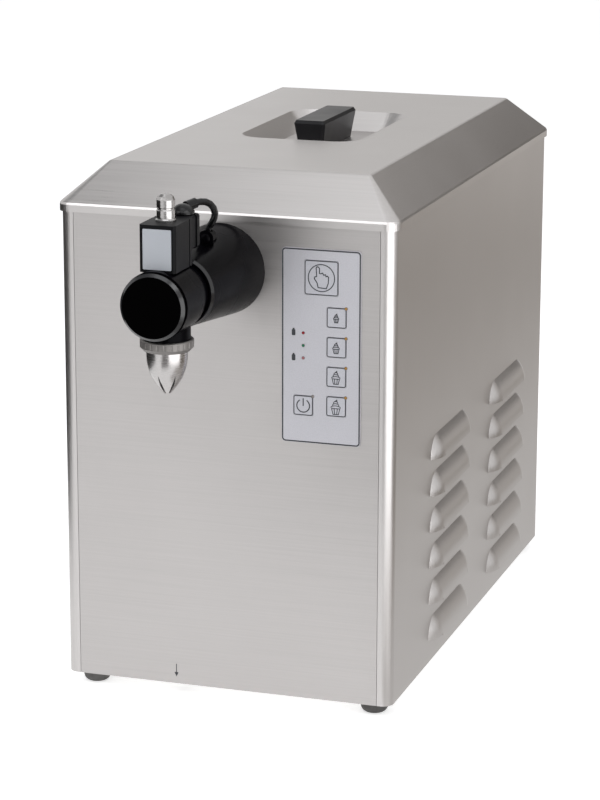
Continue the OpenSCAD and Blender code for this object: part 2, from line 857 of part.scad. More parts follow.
module container_cover() {
    cover_z = can_rim_z + 0.1;
    color(black_plastic) from_front() translate([0, can_mid, cover_z]) difference() {
        union() {
            rounded_block(can_w + 2 * can_rim - 2, can_l + 2 * can_rim - 2, cover_t, can_r + can_rim - 1);
            translate([0, 0, -4]) rounded_block(can_w - 2 * can_t - 2, can_l - 2 * can_t - 2, 5, can_r - 2);
            cylinder(h = 9, r = 13);
            translate([0, 0, 7]) cylinder(h = 3, r = 15);
        }
        translate([0, 0, -5])
            rounded_block(can_w - 2 * can_t - 6, can_l - 2 * can_t - 6, 5, can_r - 4);
        // Slot that lets the suction tube in
        translate([head_x - notch_w / 2, -can_l / 2 - can_rim - 5, -10]) cube([notch_w, 46, 30]);
    }
}

// Pump

module pump_pedestal() {
    color(bright_steel) from_front() translate([drive_x, pump_y, tank_floor_z + fit_gap]) difference() {
        union() {
            cylinder(h = 5, r = 24);
            cylinder(h = pump_low_z - tank_floor_z - 2 * fit_gap, r = 13);
            translate([0, 0, pump_low_z - tank_floor_z - 2 * fit_gap - 5]) cylinder(h = 5, r = 19);
        }
        translate([0, 0, -1]) cylinder(h = 200, r = shaft_r + run_gap);
        for (turn = [45 : 90 : 315]) rotate([0, 0, turn]) translate([18.5, 0, -1]) {
            cylinder(h = 10, r = 2.2);
        }
    }
}

module pump_body() {
    chamber_r = gear_tip_r + pocket_gap;
    color(bright_steel) from_front() difference() {
        union() {
            translate([head_x, pump_y, pump_low_z])
                rounded_block(pump_w, pump_d, pump_high_z - pump_low_z, 6);
            // Pin that the idler gear turns on
            translate([idler_x, pump_y, pump_low_z]) cylinder(h = pump_high_z - pump_low_z, r = shaft_r);
        }
        difference() {
            union() {
                for (x = [drive_x, idler_x])
                    translate([x, pump_y, gear_low_z - pocket_gap])
                        cylinder(h = pump_high_z - gear_low_z + 1, r = chamber_r);
                // Suction and pressure pockets on both sides of the mesh
                translate([head_x - 5, pump_y - 12, gear_low_z - pocket_gap])
                    cube([10, 24, gear_h + 2 * pocket_gap]);
            }
            translate([idler_x, pump_y, pump_low_z]) cylinder(h = 60, r = shaft_r);
        }
        // Outlet to the labyrinth tube
        translate([head_x, pump_y - 8, head_z]) rotate([90, 0, 0]) cylinder(h = 20, r = 4.5);
        translate([head_x, pump_y - pump_d / 2 + socket_d, head_z]) rotate([90, 0, 0])
            cylinder(h = 20, r = laby_r + fit_gap);
        translate([drive_x, pump_y, pump_low_z - 1]) cylinder(h = 30, r = shaft_r + run_gap);
    }
}

module at_cover_corners() {
    for (x = [-1, 1], y = [-1, 1])
        translate([head_x + x * (pump_w / 2 - 6), pump_y + y * (pump_d / 2 - 6), 0]) children();
}

suction_at = [head_x, pump_y + 9];
air_at = [head_x - 18, pump_y + 10];

module pump_cover() {
    low_z = pump_high_z + fit_gap;
    color(bright_steel) from_front() difference() {
        union() {
            translate([head_x, pump_y, low_z]) rounded_block(pump_w, pump_d, cover_h, 6);
            at_cover_corners() translate([0, 0, low_z + cover_h]) {
                cylinder(h = 5, r = 4.5);
                for (turn = [0 : 45 : 315]) rotate([0, 0, turn])
                    translate([3.6, -0.8, 0]) cube([1.6, 1.6, 4]);
            }
        }
        translate([suction_at[0], suction_at[1], low_z - 1]) cylinder(h = 20, r = suction_r + fit_gap);
        translate([air_at[0], air_at[1], low_z - 1]) cylinder(h = 20, r = 2.5 + run_gap);
    }
}

// Outline of a gear: each tooth narrows from root to tip along a shortened involute
module gear_profile(phase) {
    pitch_r = gear_c / 2;
    base_r = pitch_r * cos(20);
    half_at_pitch = 90 / gear_teeth - 0.6;
    function roll(r) = r <= base_r ? 0 : sqrt(pow(r / base_r, 2) - 1) * 180 / PI;
    function spread(r) = roll(r) - atan(roll(r) * PI / 180);
    function half_angle(r) = half_at_pitch + spread(pitch_r) - spread(r);
    radii = [gear_root_r + 0.2, base_r + 0.05, pitch_r, (pitch_r + gear_tip_r) / 2, gear_tip_r - 0.15];
    flank = [for (r = radii) [r, half_angle(r)]];
    polygon([
        for (t = [0 : gear_teeth - 1])
            let (middle = phase + t * 360 / gear_teeth)
                for (side = [-1, 1], k = [0 : len(flank) - 1])
                    let (
                        f = flank[side < 0 ? k : len(flank) - 1 - k],
                        a = middle + side * f[1]
                    )
                        [f[0] * cos(a), f[0] * sin(a)]
    ]);
}

module drive_gear() {
    color(bright_steel) from_front() translate([drive_x, pump_y, gear_low_z]) difference() {
        linear_extrude(gear_h) gear_profile(0);
        translate([0, 0, -1]) cylinder(h = gear_h + 2, r = shaft_r + 0.02);
    }
}

module idler_gear() {
    color(bright_steel) from_front() translate([idler_x, pump_y, gear_low_z]) difference() {
        linear_extrude(gear_h) gear_profile(180 / gear_teeth);
        translate([0, 0, -1]) cylinder(h = gear_h + 2, r = shaft_r + run_gap);
    }
}

module drive_shaft() {
    color(bright_steel) from_front() translate([drive_x, pump_y, 0]) {
        translate([0, 0, motor_top_z - 14])
            cylinder(h = gear_low_z + gear_h - 0.3 - motor_top_z + 14, r = shaft_r);
        // Coupling that joins the pump shaft to the gear motor
        difference() {
            translate([0, 0, motor_top_z + 1.5]) cylinder(h = 16, r = 11);
            for (turn = [0, 120, 240]) rotate([0, 0, turn])
                translate([5, -2, motor_top_z + 7]) cube([8, 4, 5]);
        }
    }
}

module air_screw() {
    low_z = pump_high_z + fit_gap + cover_h;
    color(bright_steel) from_front() translate([air_at[0], air_at[1], 0]) {
        translate([0, 0, low_z - cover_h + 1]) cylinder(h = cover_h, r = 2.5);
        difference() {
            translate([0, 0, low_z + 0.3]) cylinder(h = 6, r = 5.5);
            for (turn = [0 : 30 : 330]) rotate([0, 0, turn])
                translate([5.5, 0, low_z]) cylinder(h = 8, r = 0.5);
            translate([-6, -0.5, low_z + 4.8]) cube([12, 1, 3]);
        }
    }
}

module suction_tube() {
    top_z = can_rim_z + 15;
    drop_y = can_front + 24;
    route = [
        [suction_at[0], suction_at[1], pump_high_z + fit_gap],
        [suction_at[0], suction_at[1], top_z],
        [suction_at[0], drop_y, top_z],
        [suction_at[0], drop_y, can_floor_z + can_t + 5]
    ];
    color(bright_steel) from_front() difference() {
        pipe_run(route, suction_r, 6);
        pipe_run(
            [route[0] - [0, 0, 1], route[1], route[2], route[3] - [0, 0, 1]], suction_r - 1, 6);
    }
}

module gear_motor() {
    box_z = motor_top_z - 34;
    color(cast_grey) from_front() difference() {
        union() {
            translate([drive_x, pump_y + 4, box_z]) rounded_block(76, 62, 34, 8);
            translate([drive_x - 8, pump_y + 4, tray_z + sheet_t + 20])
                cylinder(h = box_z - tray_z - sheet_t - 19, r = 28);
            // Foot frame that stands on the tray
            translate([drive_x - 40, pump_y - 26, tray_z + sheet_t + fit_gap]) cube([80, 60, 3]);
            for (x = [-1, 1])
                translate([drive_x + x * 38.5 - 1.5, pump_y - 20, tray_z + sheet_t + fit_gap])
                    cube([3, 48, box_z - tray_z]);
        }
        translate([drive_x, pump_y, motor_top_z - 16]) cylinder(h = 20, r = shaft_r + run_gap);
        for (turn = [0 : 30 : 330])
            translate([drive_x - 8, pump_y + 4, tray_z + 30]) rotate([0, 0, turn])
                translate([28, 0, 0]) cylinder(h = box_z - tray_z - 40, r = 1.4);
    }
}

// Head

module head_sleeve() {
    lip = 3;
    color(black_plastic) difference() {
        along_head() {
            rotate_extrude() polygon([
                [laby_r + fit_gap, -spigot_l],
                [spigot_r, -spigot_l],
                [spigot_r, 0],
                [sleeve_r, 0],
                [sleeve_front_r, sleeve_l - lip],
                [sleeve_front_r - 1.2, sleeve_l],
                [neck_r + 1, sleeve_l],
                [neck_r + 1, valve_rear - 15],
                [laby_r + fit_gap, valve_rear - 15]
            ]);
            // Nut that holds the sleeve behind the front panel
            translate([0, 0, -spigot_l]) ring(spigot_r + 5, spigot_r, spigot_l - sheet_t - fit_gap);
        }
        at_clamp() translate([0, 0, -1]) cylinder(h = clamp_l + 2, r = clamp_r + fit_gap);
    }
}

module labyrinth_tube() {
    rear = pump_y - pump_d / 2 + socket_d;
    color(bright_steel) along_head() translate([0, 0, -rear]) difference() {
        cylinder(h = rear + laby_l, r = laby_r);
        translate([0, 0, -1]) cylinder(h = rear + laby_l + 2, r = laby_bore);
    }
}

// Rod with baffles: each baffle leaves a slot at its edge, and the slots step round
module labyrinth_insert() {
    span = laby_l + 12;
    step = (span - 8) / (baffles - 1);
    color(bright_steel) along_head() translate([0, 0, -16]) difference() {
        union() {
            cylinder(h = span, r = 3);
            for (i = [0 : baffles - 1])
                translate([0, 0, 2 + i * step]) cylinder(h = 3, r = laby_bore - fit_gap);
        }
        for (i = [0 : baffles - 1])
            translate([0, 0, 1 + i * step]) rotate([0, 0, i * 180])
                translate([5, -5, 0]) cube([10, 10, 5]);
    }
}

module valve_body() {
    chamber_r = 11;
    color(black_plastic) difference() {
        union() {
            along_head() {
                translate([0, 0, valve_rear - 14.5]) cylinder(h = 14.5, r = neck_r);
                translate([0, 0, valve_rear]) cylinder(h = valve_front - valve_rear, r = valve_r);
            }
            at_valve() translate([0, 0, -31.1]) cylinder(h = 20, r = boss_r);
        }
        along_head() {
            translate([0, 0, valve_rear - 20]) cylinder(h = 20 + laby_l - valve_rear, r = laby_r + fit_gap);
            translate([0, 0, valve_rear - 12]) cylinder(h = 32, r = chamber_r);
            translate([0, 0, valve_front - cap_plug_l - 0.4]) cylinder(h = 20, r = 16 + fit_gap);
        }
        at_valve() {
            // Flat for the coil, and the spot face for the nozzle ring
            translate([-40, valve_l - coil_front - fit_gap, valve_flat]) cube([80, coil_d + 20, 20]);
            translate([0, 0, -60]) difference() {
                cylinder(h = 60 - spot_z, r = ring_r + 0.5);
                cylinder(h = 60, r = boss_r);
            }
            translate([0, 0, 0]) cylinder(h = 60, r = stem_r + run_gap);
            translate([0, 0, seat_z]) cylinder(h = 20, r = 8.5);
            translate([0, 0, -60]) cylinder(h = 60, r = 5.5);
        }
    }
}

module front_cap() {
    color(black_plastic) along_head() {
        translate([0, 0, valve_front + fit_gap]) rotate_extrude() polygon([
            [0, 0],
            [valve_r - 0.6, 0],
            [valve_r - 0.6, 3.4],
            [valve_r - 2.8, head_l - valve_front - fit_gap],
            [0, head_l - valve_front - fit_gap]
        ]);
        difference() {
            translate([0, 0, valve_front - cap_plug_l]) cylinder(h = cap_plug_l + fit_gap, r = 16);
            translate([0, 0, valve_front - 14]) cylinder(h = 12, r = 12);
        }
    }
}

module armature_tube() {
    low = chamber_top;
    color(bright_steel) at_valve() difference() {
        union() {
            translate([0, 0, low]) cylinder(h = coil_top - low - 0.5, r = stem_r);
            translate([0, 0, coil_top - 0.6]) cylinder(h = 12, r = 4);
        }
        translate([0, 0, low - 1]) cylinder(h = coil_top - low - 6, r = armature_r + run_gap);
    }
}
chamber_top = 12;
plunger_top = coil_top - 20;

module plunger() {
    color(bright_steel) at_valve() {
        translate([0, 0, seat_z + 0.1]) cylinder(h = 2.6, r = 7.6);
        translate([0, 0, seat_z + 1]) cylinder(h = plunger_top - seat_z - 1, r = armature_r);
    }
}

module plunger_spring() {
    turns = 5;
    wire = 0.45;
    low = plunger_top + wire + 0.1;
    high = coil_top - 7 - wire - 0.1;
    steps = turns * 12;
    coil_r = armature_r - 1.2;
    path = [for (i = [0 : steps])
        [coil_r * cos(i * 30), coil_r * sin(i * 30), low + (high - low) * i / steps]];
    outward = [for (i = [0 : steps]) [cos(i * 30), sin(i * 30), 0]];
    color(bright_steel) at_valve() swept(path, wire, 6, outward);
}

module coil_block() {
    color(black_plastic) at_valve() difference() {
        translate([0, (valve_l - coil_front + valve_l - coil_back) / 2, coil_low])
            rounded_block(coil_w, coil_d, coil_h, 2.5);
        translate([0, 0, coil_low - 1]) cylinder(h = coil_h + 2, r = stem_r + fit_gap);
        // Shallow bed for the blank front plate
        translate([-coil_w / 2 + 2.4, valve_l - coil_front - 1, coil_low + 1.6])
            cube([coil_w - 4.8, 1.6, coil_h - 4]);
        // Grooves between the winding's cover and the terminal block
        for (side = [-1, 1]) translate([side * coil_w / 2, valve_l - coil_back - 7, coil_low + coil_h / 2])
            cube([1.2, 1.4, coil_h + 2], center = true);
    }
}

module coil_nut() {
    base = coil_top + fit_gap;
    color(bright_steel) at_valve() translate([0, 0, base]) difference() {
        rotate_extrude() difference() {
            polygon([
                [0, 0], [7, 0], [7, 1.2], [6.2, 2], [6.2, 7.4], [5.7, 8], [5.7, 8.8], [6.2, 9.4],
                [6.2, 14.5], [5.4, 16.8], [3.6, 18.3], [0, 19]
            ]);
        }
        translate([0, 0, -1]) cylinder(h = 13, r = 4 + fit_gap);
    }
}

module coil_plug() {
    color(black_plastic) along_head() difference() {
        union() {
            translate([0, (plug_low + coil_top) / 2, plug_back])
                rounded_block(coil_w - 3, coil_top - plug_low, plug_l - fit_gap, 2);
            translate([0, (plug_low + coil_top) / 2, plug_back + 3])
                rounded_block(coil_w - 1.4, coil_top - plug_low + 1, 4, 2.5);
        }
        // Recess of the screw that holds the plug
        translate([0, (plug_low + coil_top) / 2, plug_back - 1]) cylinder(h = 3, r = 3.5);
    }
}

// Domed nut on the plug with a collar that points back towards the casing
module plug_gland() {
    base = coil_top + 0.6;
    color(black_plastic) from_front()
        translate([head_x + gland_at[0], -gland_at[1] - 2, head_z + base]) difference() {
            union() {
                cylinder(h = 1.6, r = 8);
                translate([0, 0, -2]) intersection() {
                    sphere(r = 8.6);
                    translate([-10, -10, 3]) cube([20, 20, 10]);
                }
                collar_frame() cylinder(h = 8.4, r = 3.6);
            }
            collar_frame() translate([0, 0, 4]) cylinder(h = 12, r = cable_d / 2 + fit_gap);
        }
}

// The collar starts inside the dome and points along the cable's first stretch
module collar_frame() {
    first = unit([
        cable_route[1][0] - cable_route[0][0],
        cable_route[0][1] - cable_route[1][1],
        cable_route[1][2] - cable_route[0][2]
    ]);
    start = [
        cable_route[0][0] - gland_at[0],
        gland_at[1] + 2 - cable_route[0][1],
        cable_route[0][2] - coil_top - 0.6
    ];
    side = unit(cross(first, [0, 0, 1]));
    multmatrix(frame_at(start - first * 5, side, cross(first, side), first)) children();
}

module head_cable() {
    path = [for (p = cable_route) [head_x + p[0], -p[1], head_z + p[2]]];
    normals = [for (p = cable_route) cable_side];
    color(black_plastic) from_front() swept(path, cable_d / 2, 12, normals);
}

module at_clamp() {
    from_front() translate([head_x + clamp_at[0], -clamp_at[1] + clamp_l / 2, head_z + clamp_at[2]])
        rotate([90, 0, 0]) children();
}

// Round clamp on the sleeve: the cable enters from above, a screw holds it from the front
module cable_clamp() {
    color(black_plastic) difference() {
        at_clamp() {
            cylinder(h = clamp_l, r = clamp_r);
            translate([0, 0, clamp_l]) intersection() {
                cylinder(h = 1.4, r = 3.4);
                translate([0, 0, -4]) sphere(r = 5.6);
            }
        }
        // Hole for the cable, wider at its mouth
        from_front() translate([head_x + clamp_at[0], -clamp_at[1], head_z + clamp_at[2] + 2]) {
            cylinder(h = 10, r = cable_d / 2 + fit_gap);
            translate([0, 0, 1.2]) cylinder(h = 10, r = cable_d / 2 + 1.2);
        }
    }
}

module nozzle_ring() {
    color(steel) at_valve() difference() {
        rotate_extrude() polygon([
            [boss_r + run_gap, -spot_z - 0.2],
            [ring_r - 0.6, -spot_z - 0.2],
            [ring_r, -spot_z - 0.8],
            [ring_r, -ring_low + 2.6],
            [ring_r - 2.4, -ring_low],
            [nozzle_r + 0.1, -ring_low],
            [nozzle_r + 0.1, -ring_low + 1.7],
            [boss_r + run_gap, -ring_low + 1.7]
        ]);
        for (turn = [0 : 15 : 345]) rotate([0, 0, turn])
            translate([ring_r + 0.55, 0, -ring_low + 2.8]) cylinder(h = 3.8, r = 0.9);
    }
}

module star_nozzle() {
    flange_z = -ring_low + 1.75;
    tip_r = 2.3;
    wall = 1.1;
    shoulder = 9;
    // Outline from the ring down to the tip, where the teeth are drawn in
    outer = [for (k = [0 : 7]) let (t = k / 7)
        [nozzle_r - (nozzle_r - tip_r) * pow(t, 1.35), -shoulder - (nozzle_l - shoulder) * t]];
    inner = [for (k = [7 : -1 : 0]) [outer[k][0] - wall, outer[k][1] + (k > 3 ? 0.6 : 0)]];
    color("silver") at_valve() difference() {
        union() {
            translate([0, 0, -ring_low]) rotate_extrude() polygon(concat(
                [[nozzle_r, 1.8]], outer, inner, [[nozzle_r - wall, 1.8]]));
            translate([0, 0, flange_z]) ring(boss_r - 0.1, nozzle_r - wall, 1.3);
        }
        // Slots between the teeth
        for (k = [0 : nozzle_teeth - 1])
            rotate([0, 0, -71 + 30 + 360 * k / nozzle_teeth])
                translate([1, 0, -ring_low]) rotate([90, 0, 90]) linear_extrude(20) polygon([
                    [-0.15, -shoulder - 5],
                    [-1, -shoulder - 13],
                    [-0.55, -nozzle_l - 1],
                    [0.55, -nozzle_l - 1],
                    [1, -shoulder - 13],
                    [0.15, -shoulder - 5]
                ]);
    }
}

// Keypad

function all_keys() = concat([[hand_at, hand_key_w]], [for (p = portion_at) [p, small_key_w]],
    [[power_at, small_key_w]]);
// Lamps at the top right corners of the small keys, and the three temperature lamps
function all_lamps() = concat(
    [for (p = concat(portion_at, [power_at])) p + [key_corner, key_corner]],
    [for (z = temp_lamps) [temp_lamp_x, z]]);

module keypad_frame() {
    color(pad_silver) on_keypad([0, 0]) difference() {
        linear_extrude(pad_t) rounded_rect(pad_w, pad_h, 2.5);
        for (k = all_keys())
            translate([k[0][0], k[0][1], -1])
                rounded_block(k[1] + 2 * key_gap, k[1] + 2 * key_gap, pad_t + 2, 1.2);
        for (p = all_lamps())
            translate([p[0], p[1], -1]) cylinder(h = pad_t + 2, r = lamp_r + fit_gap);
    }
}

// Cap in its window, flange behind it, stem that reaches to its switch; a lamp may cut its corner
module key(w, with_lamp) {
    stem_end = -board_y + switch_h + 0.45;
    difference() {
        union() {
            translate([0, 0, -0.1]) rounded_block(w, w, pad_t + key_proud + 0.1, 1);
            translate([0, 0, -0.1 - flange_t]) rounded_block(w + 1.6, w + 1.6, flange_t, 1);
            translate([0, 0, stem_end]) cylinder(h = -stem_end, r = 1.8);
        }
        if (with_lamp)
            translate([key_corner, key_corner, -5]) cylinder(h = 10, r = lamp_r + key_gap);
    }
}

module hand_key() {
    color(pad_silver) on_keypad(hand_at) key(hand_key_w, false);
}

module portion_key_small() {
    color(pad_silver) on_keypad(portion_at[0]) key(small_key_w, true);
}

module portion_key_medium() {
    color(pad_silver) on_keypad(portion_at[1]) key(small_key_w, true);
}

module portion_key_large() {
    color(pad_silver) on_keypad(portion_at[2]) key(small_key_w, true);
}

module portion_key_extra() {
    color(pad_silver) on_keypad(portion_at[3]) key(small_key_w, true);
}

module power_key() {
    color(pad_silver) on_keypad(power_at) key(small_key_w, true);
}

module keypad_lamps() {
    color("orange") on_keypad([0, 0]) for (p = all_lamps())
        translate([p[0], p[1], -board_y]) cylinder(h = board_y + pad_t + key_proud, r = lamp_r);
}

module control_board() {
    color(board_green) on_keypad([0, 0]) {
        translate([0, 0, -board_y - board_t]) linear_extrude(board_t)
            square([pad_w - 1, pad_h - 5], center = true);
        for (k = all_keys())
            translate([k[0][0] - 3, k[0][1] - 3, -board_y]) cube([6, 6, switch_h]);
    }
}

// Cooling unit and electrics

module compressor() {
    color(black_plastic) from_front() translate([comp_at[0], comp_at[1], tray_z + sheet_t]) {
        difference() {
            translate([0, 0, 8]) rotate_extrude() intersection() {
                square([comp_r, comp_h]);
                translate([0, comp_h / 2]) circle(norm([comp_r - 14, comp_h / 2]));
            }
            // Sockets for the suction pipe and the hot pipe
            translate([-evap_half - comp_at[0], comp_r - 12, comp_h - 22]) rotate([-90, 0, 0])
                cylinder(h = 20, r = pipe_r + fit_gap);
            translate([20, 20, comp_h - 6]) cylinder(h = 20, r = pipe_r + fit_gap);
        }
        translate([-58, -46, 5]) cube([116, 92, 3.2]);
        for (x = [-50, 50], y = [-38, 38]) translate([x, y, 0.1]) cylinder(h = 5, r = 7);
        // Terminal cover
        translate([comp_r - 8, -16, 50]) cube([14, 32, 36]);
    }
}

module condenser() {
    color(cast_grey) from_front() translate([cond_at[0] - cond_w / 2, cond_at[1] - cond_l / 2, cond_low]) {
        fin_step = (cond_l - 2) / (fins - 1);
        for (i = [0 : fins - 1]) translate([0, i * fin_step, 0]) cube([cond_w, 2, cond_h]);
        for (column = [0, 1], row = [0 : 4])
            translate([cond_w / 4 + column * cond_w / 2, -8, 14 + row * 24]) rotate([-90, 0, 0])
                cylinder(h = cond_l + 16, r = 4);
        // Feet
        for (y = [0, cond_l - 2]) translate([0, y, -2]) cube([cond_w, 2, 3]);
    }
}

module fan_frame() {
    color(black_plastic) from_front() translate(fan_at) rotate([0, -90, 0]) {
        difference() {
            linear_extrude(fan_t) rounded_rect(fan_w, fan_w, 5);
            translate([0, 0, -1]) cylinder(h = fan_t + 2, r = fan_w / 2 - 4);
        }
        // Spider that carries the motor
        for (turn = [45 : 90 : 315]) rotate([0, 0, turn])
            translate([14, -2.5, fan_t - 4]) cube([fan_w / 2 - 17, 5, 4]);
        translate([0, 0, fan_t - 12]) cylinder(h = 12, r = 18);
        cylinder(h = fan_t - 10, r = 2.5);
        // Feet down to the tray
        for (y = [-1, 1])
            translate([-fan_at[2] + tray_z + sheet_t + fit_gap, y * 40 - 6, 2])
                cube([fan_at[2] - tray_z - sheet_t - fan_w / 2 + 2, 12, 6]);
    }
}

module fan_rotor() {
    color(black_plastic) from_front() translate(fan_at) rotate([0, -90, 0]) difference() {
        union() {
            translate([0, 0, 1]) cylinder(h = 11, r = 19);
            for (k = [0 : fan_blades - 1]) rotate([0, 0, 360 * k / fan_blades])
                translate([15, 0, 7]) rotate([35, 0, 0]) translate([0, -9, -0.7])
                    cube([fan_w / 2 - 23, 18, 1.4]);
        }
        translate([0, 0, -1]) cylinder(h = 30, r = 2.5 + run_gap);
    }
}

module refrigerant_pipes() {
    comp_top = tray_z + sheet_t + 8 + comp_h;
    end_z = foam_low_z - 8 - fit_gap;
    x_in = cond_at[0] - cond_w / 4;
    top_row = cond_low + 14 + 4 * 24;
    low_row = cond_low + 14;
    back_y = cond_at[1] + cond_l / 2 + 8;
    color(copper) from_front() {
        // Suction pipe from the evaporator down into the compressor
        pipe_run([
            [-evap_half, evap_end, end_z],
            [-evap_half, evap_end, comp_top - 30],
            [-evap_half, comp_at[1] + comp_r - 10, comp_top - 30]
        ], pipe_r, 8);
        // Hot pipe from the compressor to the condenser's top row
        pipe_run([
            [comp_at[0] + 20, comp_at[1] + 20, comp_top - 12],
            [comp_at[0] + 20, comp_at[1] + 20, comp_top + 10],
            [comp_at[0] + 20, 400, comp_top + 10],
            [x_in, 400, comp_top + 10],
            [x_in, 400, top_row],
            [x_in, back_y + fit_gap, top_row]
        ], pipe_r, 8);
        // Liquid pipe from the bottom row through the drier to the evaporator
        pipe_run([
            [x_in, back_y + fit_gap, low_row],
            [x_in, 378, low_row],
            [x_in, 378, 60],
            [evap_half, 378, 60],
            [evap_half, 378, end_z - 14],
            [evap_half, evap_end, end_z - 14],
            [evap_half, evap_end, end_z]
        ], pipe_r - 1, 3);
        // Drier
        translate([evap_half, 378, 74]) cylinder(h = 50, r = 8);
    }
}

module power_supply() {
    low_z = tray_z + sheet_t + fit_gap;
    color(cast_grey) from_front() translate([supply_at[0], supply_at[1], low_z]) {
        // Transformer core, windings and mounting straps
        translate([-28, -36, 3]) cube([56, 72, 48]);
        translate([-22, -46, 12]) cube([44, 92, 30]);
        translate([-40, -20, 0]) cube([80, 40, 3]);
    }
}

module mains_inlet() {
    cavity_w = 24.4;
    cavity_h = 17;
    depth = 16;
    color(black_plastic) from_front()
        translate([inlet_at[0], body_d + inlet_out, foot_h + inlet_at[1]]) rotate([90, 0, 0]) {
            difference() {
                union() {
                    linear_extrude(inlet_out - fit_gap) rounded_rect(50, 24, 5);
                    linear_extrude(depth + 4) rounded_rect(inlet_w - 0.4, inlet_h - 0.4, 1.8);
                }
                translate([0, 0, -1]) linear_extrude(depth + 1) rounded_rect(cavity_w, cavity_h, 2);
                for (x = [-1, 1]) translate([x * 20, 0, -1]) cylinder(h = 10, r = 1.8);
            }
            for (pin = [[-7, -2], [7, -2], [0, 2]])
                translate([pin[0] - 1, pin[1] - 2, 3]) cube([2, 4, depth - 2]);
        }
}

front_panel();
left_side_panel();
right_side_panel();
back_panel();
base_tray();
top_deck();
feet();
casing_screws();
rinse_button();
lid_shell();
lid_insulation();
lid_liner();
lid_seal();
lid_grip();
cold_well();
well_insulation();
evaporator_coil();
cream_container();
container_cover();
pump_pedestal();
pump_body();
pump_cover();
drive_gear();
idler_gear();
drive_shaft();
air_screw();
suction_tube();
gear_motor();
head_sleeve();
labyrinth_tube();
labyrinth_insert();
valve_body();
front_cap();
armature_tube();
plunger();
plunger_spring();
coil_block();
coil_nut();
coil_plug();
plug_gland();
head_cable();
cable_clamp();
nozzle_ring();
star_nozzle();
keypad_frame();
hand_key();
portion_key_small();
portion_key_medium();
portion_key_large();
portion_key_extra();
power_key();
keypad_lamps();
control_board();
compressor();
condenser();
fan_frame();
fan_rotor();
refrigerant_pipes();
power_supply();
mains_inlet();
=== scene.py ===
import bpy
import bmesh
import math
from mathutils import Matrix, Vector


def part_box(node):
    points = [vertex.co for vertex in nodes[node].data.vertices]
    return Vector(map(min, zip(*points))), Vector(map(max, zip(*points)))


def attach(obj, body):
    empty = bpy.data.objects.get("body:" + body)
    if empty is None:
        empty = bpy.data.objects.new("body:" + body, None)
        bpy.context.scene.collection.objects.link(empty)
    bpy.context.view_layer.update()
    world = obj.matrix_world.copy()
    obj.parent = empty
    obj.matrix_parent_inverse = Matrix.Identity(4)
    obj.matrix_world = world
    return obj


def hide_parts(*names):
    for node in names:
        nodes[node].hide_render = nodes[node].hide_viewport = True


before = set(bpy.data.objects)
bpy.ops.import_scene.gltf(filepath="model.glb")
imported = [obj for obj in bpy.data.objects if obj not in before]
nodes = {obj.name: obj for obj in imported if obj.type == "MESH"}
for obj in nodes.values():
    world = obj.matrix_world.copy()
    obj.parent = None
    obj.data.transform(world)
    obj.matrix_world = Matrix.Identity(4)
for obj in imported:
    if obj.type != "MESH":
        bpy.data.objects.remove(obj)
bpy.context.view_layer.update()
scene = bpy.context.scene

MM = 0.001
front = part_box("front_panel")[0][1]  # y of the front face

# Camera, placed to match the photograph
PICTURE_PIXELS = 800  # the picture's longer side
FOCAL_PIXELS = 2866.4
SENSOR = 36
CAMERA_X, CAMERA_BEFORE_FRONT, CAMERA_Z = 0.66084, 1.86616, 0.73127
TURN, DOWN, ROLL = 17.955, 14.268, 0.138  # degrees
NEAR, FAR = 0.05, 50

camera = bpy.data.objects.new("camera", bpy.data.cameras.new("camera"))
scene.collection.objects.link(camera)
scene.camera = camera
camera.data.lens = FOCAL_PIXELS / PICTURE_PIXELS * SENSOR
camera.data.sensor_width = SENSOR
camera.location = (CAMERA_X, front - CAMERA_BEFORE_FRONT, CAMERA_Z)
turn = Matrix.Rotation(math.radians(TURN), 3, "Z")
tilt = Matrix.Rotation(math.radians(90 - DOWN), 3, "X")
roll = Matrix.Rotation(math.radians(ROLL), 3, "Z")
camera.rotation_euler = (turn @ tilt @ roll).to_euler()
camera.data.clip_start = NEAR
camera.data.clip_end = FAR

scene.view_settings.view_transform = "Standard"


def area_light(name, place, aim, side, power):
    """A square soft light that lights surfaces and isn't mirrored in them."""
    lamp = bpy.data.objects.new(name, bpy.data.lights.new(name, "AREA"))
    lamp.data.shape = "SQUARE"
    lamp.data.size = side
    lamp.data.energy = power
    lamp.location = place
    lamp.rotation_euler = (Vector(aim) - Vector(place)).to_track_quat("-Z", "Y").to_euler()
    lamp.visible_glossy = False
    scene.collection.objects.link(lamp)


area_light("key_light", (-1.1, -1.6, 1.9), (0, 0, 0.25), 1.4, 20)
area_light("fill_light", (1.7, -1.2, 1.2), (0, 0, 0.25), 1.6, 7)
area_light("top_light", (0.1, -0.2, 2.2), (0, 0, 0.3), 1.8, 14)


def combined(tree, operation, first, second):
    """The outcome of a math node on two values."""
    node = tree.nodes.new("ShaderNodeMath")
    node.operation = operation
    tree.links.new(first, node.inputs[0])
    tree.links.new(second, node.inputs[1])
    return node.outputs[0]


def seen_rays(tree):
    """One for rays from the camera and for those that a glossy or clear surface sends on."""
    rays = tree.nodes.new("ShaderNodeLightPath").outputs
    seen = combined(tree, "MAXIMUM", rays["Is Camera Ray"], rays["Is Glossy Ray"])
    return combined(tree, "MAXIMUM", seen, rays["Is Transmission Ray"])


def glow(tree, kind, level, colour=(1, 1, 1)):
    """Light of one colour, of the kind Background or Emission."""
    node = tree.nodes.new("ShaderNode" + kind)
    node.inputs["Color"].default_value = (*colour, 1)
    node.inputs["Strength"].default_value = level
    return node.outputs[0]


def by_ray(tree, unseen, seen):
    """The second light for seen rays, the first for all others."""
    pick = tree.nodes.new("ShaderNodeMixShader")
    tree.links.new(seen_rays(tree), pick.inputs[0])
    tree.links.new(unseen, pick.inputs[1])
    tree.links.new(seen, pick.inputs[2])
    return pick.outputs[0]


